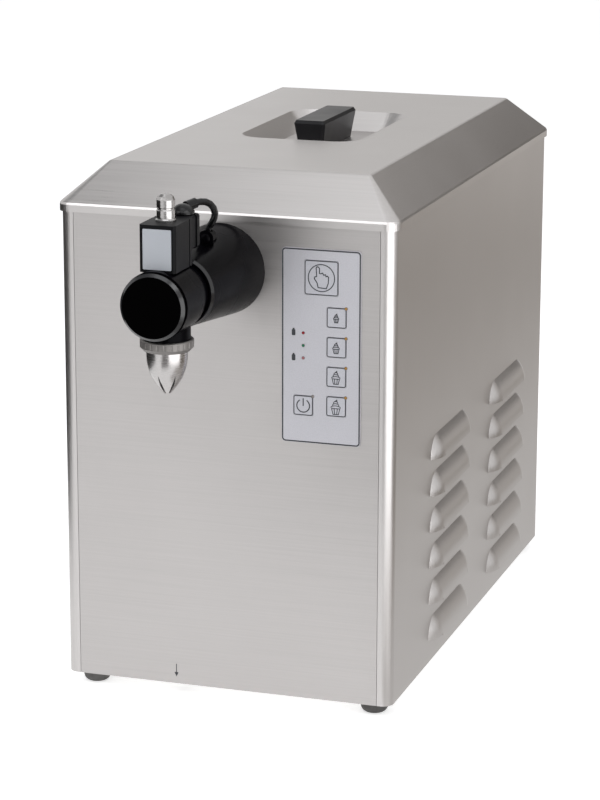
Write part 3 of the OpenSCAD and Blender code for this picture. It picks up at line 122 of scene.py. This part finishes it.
# World, white where it is seen and dimmer where it lights
world = bpy.data.worlds.new("studio")
scene.world = world
world.use_nodes = True
tree = world.node_tree
tree.nodes.clear()
output = tree.nodes.new("ShaderNodeOutputWorld")
soft = glow(tree, "Background", 0.42, (0.96, 0.98, 1))
white = glow(tree, "Background", 1.0)
tree.links.new(by_ray(tree, soft, white), output.inputs[0])

# Pale floor that keeps the shadow
FLOOR_REACH = 6
FLOOR_GREY = 0.86
FLOOR_GLOW = 0.62

floor_mesh = bpy.data.meshes.new("floor")
floor_mesh.from_pydata(
    [(x * FLOOR_REACH, y * FLOOR_REACH, 0) for x, y in ((-1, -1), (1, -1), (1, 1), (-1, 1))],
    [],
    [(0, 1, 2, 3)],
)
floor = bpy.data.objects.new("floor", floor_mesh)
scene.collection.objects.link(floor)
paper = bpy.data.materials.new("paper")
paper.use_nodes = True
tree = paper.node_tree
shader = tree.nodes["Principled BSDF"]
shader.inputs["Base Color"].default_value = (FLOOR_GREY, FLOOR_GREY, FLOOR_GREY, 1)
shader.inputs["Roughness"].default_value = 0.9
shader.inputs["Specular IOR Level"].default_value = 0.1
total = tree.nodes.new("ShaderNodeAddShader")
tree.links.new(shader.outputs[0], total.inputs[0])
tree.links.new(by_ray(tree, glow(tree, "Emission", 0.0), glow(tree, "Emission", FLOOR_GLOW)), total.inputs[1])
tree.links.new(total.outputs[0], tree.nodes["Material Output"].inputs[0])
floor_mesh.materials.append(paper)


def reflection_card(name, corners, level, warm=0.03):
    """A studio card of one brightness that only shows as a reflection."""
    mesh = bpy.data.meshes.new(name)
    mesh.from_pydata(corners, [], [(0, 1, 2, 3)])
    card = bpy.data.objects.new(name, mesh)
    scene.collection.objects.link(card)
    card.visible_camera = card.visible_diffuse = card.visible_shadow = False
    card.visible_transmission = False
    grey = bpy.data.materials.new(name)
    grey.use_nodes = True
    tree = grey.node_tree
    tree.nodes.clear()
    out = tree.nodes.new("ShaderNodeOutputMaterial")
    tree.links.new(glow(tree, "Emission", level, (1, 1 - warm, 1 - 2 * warm)), out.inputs[0])
    mesh.materials.append(grey)


def lying(x0, x1, y0, y1, z):
    """Corners of a level card, in metres."""
    return [(x0, y0, z), (x1, y0, z), (x1, y1, z), (x0, y1, z)]


def standing(x0, y0, x1, y1, z0, z1):
    """Corners of an upright card over the line from x0, y0 to x1, y1, in metres."""
    return [(x0, y0, z0), (x1, y1, z0), (x1, y1, z1), (x0, y0, z1)]


LOW = 0.002  # just above the floor

# What the right side shows: grey beside the machine, dark further right, lighter far behind
reflection_card("card_side_by", lying(0.128, 0.3, -0.4, 3.0, LOW), 0.76, 0.02)
reflection_card("card_side_near", lying(0.3, 0.5, -0.4, 3.0, LOW), 0.6, 0.05)
reflection_card("card_side_dark", lying(0.5, 1.8, -0.2, 1.9, LOW), 0.25, 0.14)
reflection_card("card_side_far", lying(0.5, 2.4, 1.9, 3.0, LOW), 0.75, 0.05)
reflection_card("card_side_wall", standing(0.5, 3.2, 3.2, 2.0, LOW, 2.2), 0.6, 0.05)
reflection_card("card_right_above", standing(0.9, -1.6, 1.6, -0.3, 1.4, 2.3), 4.0, -0.01)
reflection_card("card_bevel_side", standing(0.3, 2.2, 1.1, 2.1, 1.05, 1.9), 0.42, 0.05)
reflection_card("card_louvres", standing(0.15, 2.2, 1.5, 2.0, 0.4, 1.05), 0.1, 0.1)
# What the front shows on its right, and what its two folded edges show
reflection_card("card_front_right", lying(-0.14, 1.0, -2.2, -0.7, LOW), 0.22)
reflection_card("card_fold_left", standing(-0.58, -0.8, -0.5, 1.3, LOW, 0.37), 0.03)
reflection_card("card_fold_right", standing(0.33, -0.85, 0.75, -0.2, LOW, 0.5), 3.0, -0.005)
# What the lid shows: behind it for the top, above it for the front bevel
reflection_card("card_lid_left", standing(-3.0, 2.4, -0.9, 2.8, 0.3, 1.9), 0.86, 0.01)
reflection_card("card_lid_right", standing(-0.9, 2.8, 0.5, 3.2, 0.3, 1.9), 0.72, 0.02)
reflection_card("card_above_left", lying(-2.4, -0.72, -1.2, 1.2, 2.0), 0.45, -0.01)
reflection_card("card_above_right", lying(-0.42, 0.6, -1.2, -0.33, 2.0), 2.1, -0.02)
reflection_card("card_high_front", standing(-2.0, -2.0, 1.0, -2.0, 2.55, 4.5), 0.45)
reflection_card("card_above_front", standing(-2.0, -2.0, 0.6, -2.0, 1.45, 2.5), 3.2, -0.01)


# Materials
NOISE_LOW, NOISE_HIGH = 0.3, 0.7  # the range that most of a noise texture's values lie in


def new_material(name, colour, roughness, metallic=0.0, specular=0.5):
    """A material, its node tree and its shader."""
    mat = bpy.data.materials.new(name)
    mat.use_nodes = True
    shader = mat.node_tree.nodes["Principled BSDF"]
    shader.inputs["Base Color"].default_value = (*colour, 1)
    shader.inputs["Roughness"].default_value = roughness
    shader.inputs["Metallic"].default_value = metallic
    shader.inputs["Specular IOR Level"].default_value = specular
    return mat, mat.node_tree, shader


def noise(tree, scale, stretch=(1, 1, 1), detail=4.0, roughness=0.6):
    """Value of a noise texture laid in the piece's own space."""
    place = tree.nodes.new("ShaderNodeTexCoord")
    mapping = tree.nodes.new("ShaderNodeMapping")
    mapping.inputs["Scale"].default_value = stretch
    tree.links.new(place.outputs["Object"], mapping.inputs[0])
    tex = tree.nodes.new("ShaderNodeTexNoise")
    tex.inputs["Scale"].default_value = scale
    tex.inputs["Detail"].default_value = detail
    tex.inputs["Roughness"].default_value = roughness
    tree.links.new(mapping.outputs[0], tex.inputs["Vector"])
    return tex.outputs["Fac"]


def spread(tree, value, low, high):
    """Takes a texture's value to the range low to high."""
    fit = tree.nodes.new("ShaderNodeMapRange")
    fit.inputs["From Min"].default_value = NOISE_LOW
    fit.inputs["From Max"].default_value = NOISE_HIGH
    fit.inputs["To Min"].default_value = low
    fit.inputs["To Max"].default_value = high
    tree.links.new(value, fit.inputs["Value"])
    return fit.outputs["Result"]


def scaled(colour, k):
    return tuple(min(1.0, c * k) for c in colour)


def tint(tree, shader, value, colour, less, more):
    """Colour that goes with the value from less to more of itself."""
    mix = tree.nodes.new("ShaderNodeMix")
    mix.data_type = "RGBA"
    mix.inputs["A"].default_value = (*scaled(colour, less), 1)
    mix.inputs["B"].default_value = (*scaled(colour, more), 1)
    tree.links.new(spread(tree, value, 0, 1), mix.inputs["Factor"])
    tree.links.new(mix.outputs["Result"], shader.inputs["Base Color"])


def bump(tree, shader, value, depth, strength):
    """Relief of the given depth in metres, seen in the shading alone."""
    node = tree.nodes.new("ShaderNodeBump")
    node.inputs["Strength"].default_value = strength
    node.inputs["Distance"].default_value = depth
    tree.links.new(value, node.inputs["Height"])
    tree.links.new(node.outputs[0], shader.inputs["Normal"])


def brushed(name, colour, stretch, roughness=0.36, contrast=0.05, depth=2e-5):
    """Sheet metal with fine lines along the axis whose stretch is small."""
    mat, tree, shader = new_material(name, colour, roughness, 1.0)
    lines = noise(tree, 1.0, stretch, 6.0, 0.7)
    tint(tree, shader, lines, colour, 1 - contrast, 1 + contrast)
    clouds = noise(tree, 9.0, detail=2.0)
    broad = spread(tree, clouds, roughness - 0.025, roughness + 0.025)
    uneven = combined(tree, "ADD", spread(tree, lines, -0.05, 0.05), broad)
    tree.links.new(uneven, shader.inputs["Roughness"])
    bump(tree, shader, lines, depth, 0.6)
    return mat


def moulded(name, colour, roughness, grain=900.0, depth=3e-5, specular=0.35, wear=0.25):
    """Moulded plastic with a fine grain and slightly uneven gloss."""
    mat, tree, shader = new_material(name, colour, roughness, 0.0, specular)
    fine = noise(tree, grain, detail=3.0)
    patches = noise(tree, 22.0, detail=2.0)
    tint(tree, shader, patches, colour, 1 - wear, 1 + wear)
    tree.links.new(spread(tree, patches, roughness - 0.05, roughness + 0.06), shader.inputs["Roughness"])
    bump(tree, shader, fine, depth, 0.5)
    return mat


STEEL = (0.5, 0.482, 0.475)
# Painted shade: the front panel uses the same sheet steel as the sides and lid, but darkened to about 0.86 of
# STEEL
shaded_front_steel = brushed("shaded_front_steel", (0.43, 0.413, 0.407), (7, 900, 900))
side_steel = brushed("side_steel", STEEL, (900, 900, 7))
lid_steel = brushed("lid_steel", STEEL, (9, 700, 700), roughness=0.33)
inner_steel = brushed("inner_steel", (0.62, 0.61, 0.6), (300, 300, 60), roughness=0.3)
turned_steel = brushed("turned_steel", (0.52, 0.51, 0.5), (60, 60, 1500), roughness=0.24, contrast=0.08)
nozzle_steel = brushed(
    "nozzle_steel", (0.42, 0.405, 0.4), (60, 60, 2600), roughness=0.27, contrast=0.03, depth=4e-6
)
ring_steel = brushed(
    "ring_steel", (0.2, 0.19, 0.183), (700, 700, 700), roughness=0.55, contrast=0.1, depth=4e-5
)
nut_steel = brushed("nut_steel", (0.38, 0.37, 0.365), (60, 60, 900), roughness=0.16, contrast=0.06)
head_black = moulded("head_black", (0.0022, 0.002, 0.003), 0.27, specular=0.03)
cap_black = moulded("cap_black", (0.0006, 0.0005, 0.0006), 0.34, specular=0.006)
coil_black = moulded("coil_black", (0.006, 0.006, 0.007), 0.42, grain=1400, depth=5e-5, specular=0.07)
grip_black = moulded("grip_black", (0.008, 0.008, 0.0095), 0.36, specular=0.2)
edge_black = moulded("edge_black", (0.01, 0.01, 0.012), 0.2, grain=300, depth=4e-6, specular=0.5)
foot_rubber = moulded("foot_rubber", (0.14, 0.135, 0.13), 0.6, grain=600, specular=0.3)
rubber = moulded("rubber", (0.012, 0.012, 0.013), 0.7, grain=600, specular=0.2)
cable_skin = moulded("cable_skin", (0.003, 0.003, 0.0035), 0.24, grain=500, depth=1e-5, specular=0.3)
gloss_black = moulded("gloss_black", (0.003, 0.003, 0.0035), 0.22, grain=700, depth=6e-6, specular=0.3)
foam = moulded("foam", (0.86, 0.74, 0.46), 0.85, grain=420, depth=2e-4, specular=0.1, wear=0.08)
copper = brushed("copper", (0.72, 0.38, 0.24), (200, 200, 200), roughness=0.32, contrast=0.12)
board = moulded("board", (0.01, 0.11, 0.045), 0.4, grain=300, specular=0.5, wear=0.2)
black_metal = moulded("black_metal", (0.012, 0.012, 0.013), 0.35, grain=260, depth=6e-5, specular=0.5)
cast_metal = brushed(
    "cast_metal", (0.4, 0.41, 0.42), (240, 240, 240), roughness=0.48, contrast=0.12, depth=6e-5
)
print_dark = moulded("print_dark", (0.05, 0.052, 0.06), 0.5, grain=500, depth=5e-6)
label_white = moulded("label_white", (0.5, 0.52, 0.56), 0.35, grain=700, depth=8e-6, wear=0.03)


def film(name, colour):
    """Printed film with a fine sparkling texture, partly reflecting."""
    mat, tree, shader = new_material(name, colour, 0.36, 0.55)
    fine = noise(tree, 1500.0, detail=2.0)
    tint(tree, shader, fine, colour, 0.93, 1.07)
    tree.links.new(spread(tree, fine, 0.32, 0.42), shader.inputs["Roughness"])
    bump(tree, shader, fine, 1.5e-5, 0.5)
    return mat


pad_film = film("pad_film", (0.53, 0.525, 0.56))
key_film = film("key_film", (0.52, 0.52, 0.56))


def lens(name, colour):
    """Clear-looking plastic of an indicator lamp."""
    mat, tree, shader = new_material(name, colour, 0.18)
    tint(tree, shader, noise(tree, 400.0), colour, 0.8, 1.15)
    return mat


lamp_amber = lens("lamp_amber", (0.42, 0.22, 0.05))
lamp_red = lens("lamp_red", (0.32, 0.012, 0.02))
lamp_green = lens("lamp_green", (0.01, 0.16, 0.07))
lamp_rose = lens("lamp_rose", (0.4, 0.16, 0.17))
lamp_clear = lens("lamp_clear", (0.3, 0.27, 0.25))

# The machine's own pieces by material
LOOKS = {
    shaded_front_steel: "front_panel back_panel",
    side_steel: "left_side_panel right_side_panel",
    lid_steel: "lid_shell",
    inner_steel: "base_tray top_deck lid_liner cold_well cream_container pump_pedestal",
    turned_steel: "casing_screws pump_body pump_cover drive_gear idler_gear drive_shaft air_screw "
    "suction_tube labyrinth_tube labyrinth_insert armature_tube plunger plunger_spring",
    nut_steel: "coil_nut",
    nozzle_steel: "star_nozzle",
    ring_steel: "nozzle_ring",
    head_black: "head_sleeve valve_body cable_clamp rinse_button container_cover",
    cap_black: "front_cap",
    coil_black: "coil_block coil_plug mains_inlet",
    gloss_black: "plug_gland",
    grip_black: "lid_grip",
    rubber: "lid_seal",
    foot_rubber: "feet",
    cable_skin: "head_cable",
    foam: "lid_insulation well_insulation",
    copper: "evaporator_coil refrigerant_pipes",
    pad_film: "keypad_frame",
    key_film: "hand_key portion_key_small portion_key_medium portion_key_large portion_key_extra power_key",
    lamp_clear: "keypad_lamps",
    board: "control_board",
    black_metal: "compressor",
    cast_metal: "gear_motor condenser power_supply fan_frame fan_rotor",
}
for mat, names in LOOKS.items():
    for name in names.split():
        piece = nodes[name]
        if not piece.data.materials:
            piece.data.materials.append(mat)
        for slot in piece.material_slots:
            slot.material = mat

# Printed marks
DEPTH = 0.06 * MM  # how far a mark stands off its face


def add_piece(name, mesh, body, mat):
    """A new piece that rides on a body."""
    piece = bpy.data.objects.new(name, mesh)
    scene.collection.objects.link(piece)
    mesh.materials.append(mat)
    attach(piece, body)
    return piece


def mesh_of(bm, name):
    """The finished mesh, its normals facing outward."""
    bmesh.ops.recalc_face_normals(bm, faces=bm.faces)
    mesh = bpy.data.meshes.new(name)
    bm.to_mesh(mesh)
    bm.free()
    return mesh


def plate(bm, outline, y, thick):
    """A flat plate whose outline is in the front view, its face at y, its back thick behind it."""
    near = [bm.verts.new((x, y, z)) for x, z in outline]
    far = [bm.verts.new((x, y + thick, z)) for x, z in outline]
    bm.faces.new(near)
    bm.faces.new(list(reversed(far)))
    n = len(outline)
    for i in range(n):
        bm.faces.new((near[(i + 1) % n], near[i], far[i], far[(i + 1) % n]))


def stroke(bm, points, width, y, closed):
    """A line of the given width along points of the front view."""
    pts = [Vector(p) for p in points]
    n = len(pts)
    sides = []
    for i in range(n):
        dirs = []
        if closed or i > 0:
            dirs.append((pts[i] - pts[(i - 1) % n]).normalized())
        if closed or i < n - 1:
            dirs.append((pts[(i + 1) % n] - pts[i]).normalized())
        along = sum(dirs, Vector((0, 0))).normalized()
        square = Vector((-along[1], along[0]))
        grow = 1 / max(0.5, abs(square.dot(Vector((-dirs[0][1], dirs[0][0])))))
        sides.append((pts[i] + square * width / 2 * grow, pts[i] - square * width / 2 * grow))
    for i in range(n if closed else n - 1):
        a, b = sides[i], sides[(i + 1) % n]
        plate(bm, [a[0], b[0], b[1], a[1]], y, DEPTH)


def ellipse(cx, cz, rx, rz, start=0, end=360, steps=36):
    """Points of an ellipse, or of a part of one from start to end degrees."""
    full = abs(end - start) >= 360
    count = steps if full else steps + 1
    return [
        (cx + rx * math.cos(math.radians(start + (end - start) * i / steps)),
         cz + rz * math.sin(math.radians(start + (end - start) * i / steps)))
        for i in range(count)
    ]


def round_rect(cx, cz, w, h, r):
    """Outline of a rectangle with round corners."""
    steps = 5
    points = []
    for k, (sx, sz) in enumerate(((1, 1), (-1, 1), (-1, -1), (1, -1))):
        for i in range(steps + 1):
            a = math.radians(90 * k + 90 * i / steps)
            points.append((cx + sx * (w / 2 - r) + r * math.cos(a), cz + sz * (h / 2 - r) + r * math.sin(a)))
    return points


def printed(name, body, y, strokes=(), fills=(), width=0.5):
    """Marks in millimetres of the front view, printed on a face at y."""
    bm = bmesh.new()
    for points, closed in strokes:
        stroke(bm, [(x * MM, z * MM) for x, z in points], width * MM, y - DEPTH, closed)
    for outline in fills:
        plate(bm, [(x * MM, z * MM) for x, z in outline], y - DEPTH, DEPTH)
    add_piece(name, mesh_of(bm, name), body, print_dark)


def centre(node):
    """Middle of a piece in the front view, in millimetres."""
    low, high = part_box(node)
    return ((low[0] + high[0]) / 2 / MM, (low[2] + high[2]) / 2 / MM)


pad_low, pad_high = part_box("keypad_frame")
pad_face = pad_low[1]
pad_cx, pad_cz = centre("keypad_frame")
pad_w = (pad_high[0] - pad_low[0]) / MM
pad_h = (pad_high[2] - pad_low[2]) / MM
BORDER_INSET = 1.4
printed("keypad_border", "machine", pad_face,
        [(round_rect(pad_cx, pad_cz, pad_w - BORDER_INSET, pad_h - BORDER_INSET, 2.2), True)], width=1.0)

HAND_SIDE = 24.4
KEY_SIDE = 14.2
EDGE_INSET = 0.6
# Each key's body and the height of the cup on it
PORTION_KEYS = {
    "portion_key_small": ("small_portion_button", 6.2),
    "portion_key_medium": ("medium_portion_button", 7.8),
    "portion_key_large": ("large_portion_button", 9.4),
    "portion_key_extra": ("extra_portion_button", 10.6),
}
# A pointing hand, from its raised finger round to it again
HAND = [(-2.0, 7.6), (-3.3, 7.9), (-3.9, 6.8), (-3.5, 0.9), (-4.8, 0.6), (-5.2, -0.6), (-3.2, -3.6),
        (-2.4, -6.9), (3.6, -7.3), (5.0, -3.4), (5.2, 0.8), (4.3, 1.7), (3.4, 1.2), (2.9, 2.6), (1.6, 2.2),
        (0.9, 3.6), (-0.6, 3.0), (-1.5, 3.3), (-1.4, 6.6)]


def cup(cx, cz, size):
    """Outlines of a cup with two folds in its side and a swirl of cream in three rising coils."""
    w, h = 0.62 * size, size
    base = cz - h / 2
    rim = base + 0.4 * h
    outlines = [
        ([(cx - 0.3 * w, base), (cx + 0.3 * w, base), (cx + 0.46 * w, rim), (cx - 0.46 * w, rim)], True),
        ([(cx - 0.12 * w, base), (cx - 0.18 * w, rim)], False),
        ([(cx + 0.12 * w, base), (cx + 0.18 * w, rim)], False),
    ]
    level, half = rim, 0.52 * w
    for k in range(3):
        rise = 0.15 * h
        outlines.append((ellipse(cx, level + rise / 2, half, rise * 0.75, 200, -20, 14), False))
        level += rise
        half *= 0.68
    outlines.append(([(cx - half, level), (cx + 0.12 * w, cz + h / 2), (cx + half, level)], False))
    return outlines


def key_edge(name, body, side):
    """The printed edge of a key. Gives the key's middle and the y of its face."""
    cx, cz = centre(name)
    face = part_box(name)[0][1]
    edge = [(round_rect(cx, cz, side - EDGE_INSET, side - EDGE_INSET, 1.2), True)]
    printed(name + "_edge", body, face, edge, width=0.6)
    return cx, cz, face


cx, cz, face = key_edge("hand_key", "hand_button", HAND_SIDE)
hand = [(cx + x, cz + z) for x, z in HAND]
circle = ellipse(cx, cz, 9.6, 9.6, steps=48)
printed("hand_mark", "hand_button", face, [(circle, True), (hand, True)], width=0.75)

for name, (body, size) in PORTION_KEYS.items():
    cx, cz, face = key_edge(name, body, KEY_SIDE)
    printed(name + "_mark", body, face, cup(cx - 0.3, cz - 0.3, size), width=0.6)

cx, cz, face = key_edge("power_key", "power_button", KEY_SIDE)
open_circle = ellipse(cx, cz - 0.2, 4.7, 4.7, 122, 418, 32)
bar = [(cx, cz - 0.4), (cx, cz + 5.2)]
printed("power_mark", "power_button", face, [(open_circle, False), (bar, False)], width=0.85)

# Heights of the three temperature lamps from the pad's middle
WARM_Z, FINE_Z, COLD_Z = 9.6, 0.5, -8.5

# Marks beside the temperature lamps: a small bottle for warm and one for cold
for name, dz in (("warm_mark", WARM_Z), ("cold_mark", COLD_Z)):
    x = pad_cx - 20.2
    z = pad_cz + dz
    bottle = [round_rect(x, z, 2.7, 4.4, 0.7), round_rect(x, z + 2.6, 1.4, 1.0, 0.3)]
    printed(name, "machine", pad_face, fills=bottle)

# Arrow on the front that points at the button under the edge
ARROW_X, ARROW_Z = -38.7, 20.0
shaft = [(ARROW_X, ARROW_Z + 5), (ARROW_X, ARROW_Z - 2)]
head = [(ARROW_X - 1.6, ARROW_Z - 1.4), (ARROW_X + 1.6, ARROW_Z - 1.4), (ARROW_X, ARROW_Z - 4.8)]
printed("rinse_arrow", "machine", front, [(shaft, False)], [head], width=0.6)


def circle_points(turns):
    """Cosine and sine of evenly spaced angles."""
    angles = [2 * math.pi * i / turns for i in range(turns)]
    return [(math.cos(a), math.sin(a)) for a in angles]


def bridge(bm, first, second):
    """Faces between two closed rings of as many points."""
    turns = len(first)
    for i in range(turns):
        after = (i + 1) % turns
        bm.faces.new((first[i], first[after], second[after], second[i]))


LENS_R = 1.05 * MM
LENS_RISE = 0.25 * MM
LENS_TURNS = 20
LENS_RINGS = 5
lamp_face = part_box("keypad_lamps")[0][1]


def dome(name, x_mm, z_mm, mat):
    """A small round lens on the keypad."""
    x = x_mm * MM
    z = z_mm * MM
    bm = bmesh.new()
    rings = []
    for k in range(LENS_RINGS):
        a = math.radians(90 * k / LENS_RINGS)
        r = LENS_R * math.cos(a)
        y = lamp_face - LENS_RISE * math.sin(a)
        rings.append([bm.verts.new((x + r * c, y, z + r * s)) for c, s in circle_points(LENS_TURNS)])
    tip = bm.verts.new((x, lamp_face - LENS_RISE, z))
    for first, second in zip(rings, rings[1:]):
        bridge(bm, first, second)
    for i in range(LENS_TURNS):
        bm.faces.new((rings[-1][i], rings[-1][(i + 1) % LENS_TURNS], tip))
    bm.faces.new(list(reversed(rings[0])))
    mesh = mesh_of(bm, name)
    for face in mesh.polygons:
        face.use_smooth = True
    add_piece(name, mesh, "machine", mat)


# The lamps of the portion keys and of the power key are at the keys' upper right corners
CORNER = KEY_SIDE / 2 - 0.2
PORTION_X = 11.4
PORTION_Z = (22, 0.7, -20.6, -41.9)
POWER_X, POWER_Z = -12.9, -42.8
TEMPERATURE_X = -13.1
for k, dz in enumerate(PORTION_Z):
    dome("portion_lens_%d" % k, pad_cx + PORTION_X + CORNER, pad_cz + dz + CORNER, lamp_amber)
dome("power_lens", pad_cx + POWER_X + CORNER, pad_cz + POWER_Z + CORNER, lamp_clear)
for name, dz, mat in (
    ("warm_lens", WARM_Z, lamp_red), ("fine_lens", FINE_Z, lamp_green), ("cold_lens", COLD_Z, lamp_rose)
):
    dome(name, pad_cx + TEMPERATURE_X, pad_cz + dz, mat)

# Blank plate on the coil
PLATE_SIDE_MARGIN = 2.7
PLATE_END_MARGINS = 4.6  # both ends together
coil_low, coil_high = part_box("coil_block")
coil_cx, coil_cz = centre("coil_block")
plate_w = (coil_high[0] - coil_low[0]) / MM - 2 * PLATE_SIDE_MARGIN
plate_h = (coil_high[2] - coil_low[2]) / MM - PLATE_END_MARGINS
bm = bmesh.new()
outline = [(x * MM, z * MM) for x, z in round_rect(coil_cx, coil_cz - 0.4, plate_w, plate_h, 0.8)]
plate(bm, outline, coil_low[1] + 0.1 * MM, 0.5 * MM)
add_piece("coil_plate", mesh_of(bm, "coil_plate"), "machine", label_white)

# Star nozzle as one smooth shell, its point cut into teeth
NOZZLE_R = 14.1 * MM
NOZZLE_L = 30 * MM
NOZZLE_WALL = 1.1 * MM
TIP_R = 2.3 * MM
TEETH = 6
FIRST_SLOT = -41  # degrees
SLOT_TOP = 16 * MM
SLOT_WIDEST = SLOT_TOP + 8 * MM
HALF_AT_TOP, HALF_AT_WIDEST, HALF_AT_TIP = 0.15, 1.0, 0.55  # half a slot's width in millimetres
FLANGE_T = 1.3 * MM
TOOTH_STEPS = 12
SHELL_ROWS = 30
FLANGE_TURNS = 72
SHARP = math.radians(38)


def nozzle_radius(drop):
    """Radius of the shell this far below the ring."""
    return NOZZLE_R - (NOZZLE_R - TIP_R) * (max(0.0, drop) / NOZZLE_L) ** 2.5


def slot_half_width(drop):
    """Half the width of the slots between the teeth this far below the ring."""
    if drop <= SLOT_TOP:
        return 0.0
    if drop < SLOT_WIDEST:
        part = (drop - SLOT_TOP) / (SLOT_WIDEST - SLOT_TOP)
        return (HALF_AT_TOP + (HALF_AT_WIDEST - HALF_AT_TOP) * part) * MM
    part = (drop - SLOT_WIDEST) / (NOZZLE_L - SLOT_WIDEST)
    return (HALF_AT_WIDEST - (HALF_AT_WIDEST - HALF_AT_TIP) * part) * MM


def star_nozzle_mesh():
    """The shell with its slots, and the flange that the ring holds."""
    low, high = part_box("star_nozzle")
    cx, cy = (low[0] + high[0]) / 2, (low[1] + high[1]) / 2
    ring_z = low[2] + NOZZLE_L
    drops = [-1.8 * MM] + [NOZZLE_L * k / SHELL_ROWS for k in range(SHELL_ROWS + 1)]
    bm = bmesh.new()

    def shell_row(drop, tooth, inset):
        r = nozzle_radius(drop)
        gap = math.asin(slot_half_width(drop) / r)
        start = math.radians(FIRST_SLOT + 360 / TEETH * tooth) + gap
        sweep = 2 * math.pi / TEETH - 2 * gap
        return [
            bm.verts.new((cx + (r - inset) * math.cos(start + sweep * i / TOOTH_STEPS),
                          cy + (r - inset) * math.sin(start + sweep * i / TOOTH_STEPS), ring_z - drop))
            for i in range(TOOTH_STEPS + 1)
        ]

    for tooth in range(TEETH):
        outer = [shell_row(drop, tooth, 0) for drop in drops]
        inner = [shell_row(drop, tooth, NOZZLE_WALL) for drop in drops]
        for k in range(len(drops) - 1):
            for i in range(TOOTH_STEPS):
                bm.faces.new((outer[k][i], outer[k][i + 1], outer[k + 1][i + 1], outer[k + 1][i]))
                bm.faces.new((inner[k][i], inner[k + 1][i], inner[k + 1][i + 1], inner[k][i + 1]))
            if slot_half_width(drops[k + 1]) > 0:
                for i in (0, TOOTH_STEPS):
                    bm.faces.new((outer[k][i], inner[k][i], inner[k + 1][i], outer[k + 1][i]))
        for row in (0, len(drops) - 1):
            for i in range(TOOTH_STEPS):
                bm.faces.new((outer[row][i], outer[row][i + 1], inner[row][i + 1], inner[row][i]))
    bore = NOZZLE_R - NOZZLE_WALL
    rim = high[0] - cx
    under = high[2] - FLANGE_T
    rows = [
        [bm.verts.new((cx + r * c, cy + r * s, under + z)) for c, s in circle_points(FLANGE_TURNS)]
        for r, z in ((bore, 0), (rim, 0), (rim, FLANGE_T), (bore, FLANGE_T))
    ]
    for first, second in zip(rows, rows[1:] + rows[:1]):
        bridge(bm, first, second)
    return finished(bm, "star_nozzle_shell")


def finished(bm, name):
    """A mesh with even normals, smooth except across sharp edges."""
    bmesh.ops.remove_doubles(bm, verts=bm.verts, dist=1e-7)
    bmesh.ops.recalc_face_normals(bm, faces=bm.faces)
    for edge in bm.edges:
        edge.smooth = len(edge.link_faces) == 2 and edge.calc_face_angle(0) < SHARP
    for face in bm.faces:
        face.smooth = True
    return mesh_of(bm, name)


shell = add_piece("star_nozzle_shell", star_nozzle_mesh(), "nozzle", nozzle_steel)
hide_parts("star_nozzle")


EDGE_SKIN = 0.08 * MM
EDGE_TURNS = 96


def polished_edge(name, node, y_front, r_front, y_back, r_back):
    """Bright cut edge round a black turned piece, as a thin cone on its chamfer."""
    low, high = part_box(node)
    cx, cz = (low[0] + high[0]) / 2, (low[2] + high[2]) / 2
    corners = (
        (y_front, r_front + EDGE_SKIN), (y_back, r_back + EDGE_SKIN),
        (y_back, r_back - EDGE_SKIN), (y_front, r_front - EDGE_SKIN),
    )
    bm = bmesh.new()
    rows = [
        [bm.verts.new((cx + r * c, y, cz + r * s)) for c, s in circle_points(EDGE_TURNS)] for y, r in corners
    ]
    for first, second in zip(rows, rows[1:] + rows[:1]):
        bridge(bm, first, second)
    add_piece(name, finished(bm, name), "machine", edge_black)


# Bright edges of the front cap and of the sleeve
CAP_CHAMFER = 2.2 * MM
CAP_JOINT = 3.6 * MM
SLEEVE_INNER_R, SLEEVE_OUTER_R = 23.3 * MM, 24.5 * MM
SLEEVE_CHAMFER = 3 * MM
cap_low, cap_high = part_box("front_cap")
cap_r = (cap_high[0] - cap_low[0]) / 2
valve_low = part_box("valve_body")[0]
chamfer_end = valve_low[1] - CAP_JOINT
polished_edge("cap_edge", "front_cap", cap_low[1] + 0.1 * MM, cap_r - CAP_CHAMFER, chamfer_end, cap_r)
sleeve_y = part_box("head_sleeve")[0][1]
chamfer_end = sleeve_y + SLEEVE_CHAMFER
polished_edge("sleeve_edge", "head_sleeve", sleeve_y + 0.06 * MM, SLEEVE_INNER_R, chamfer_end, SLEEVE_OUTER_R)
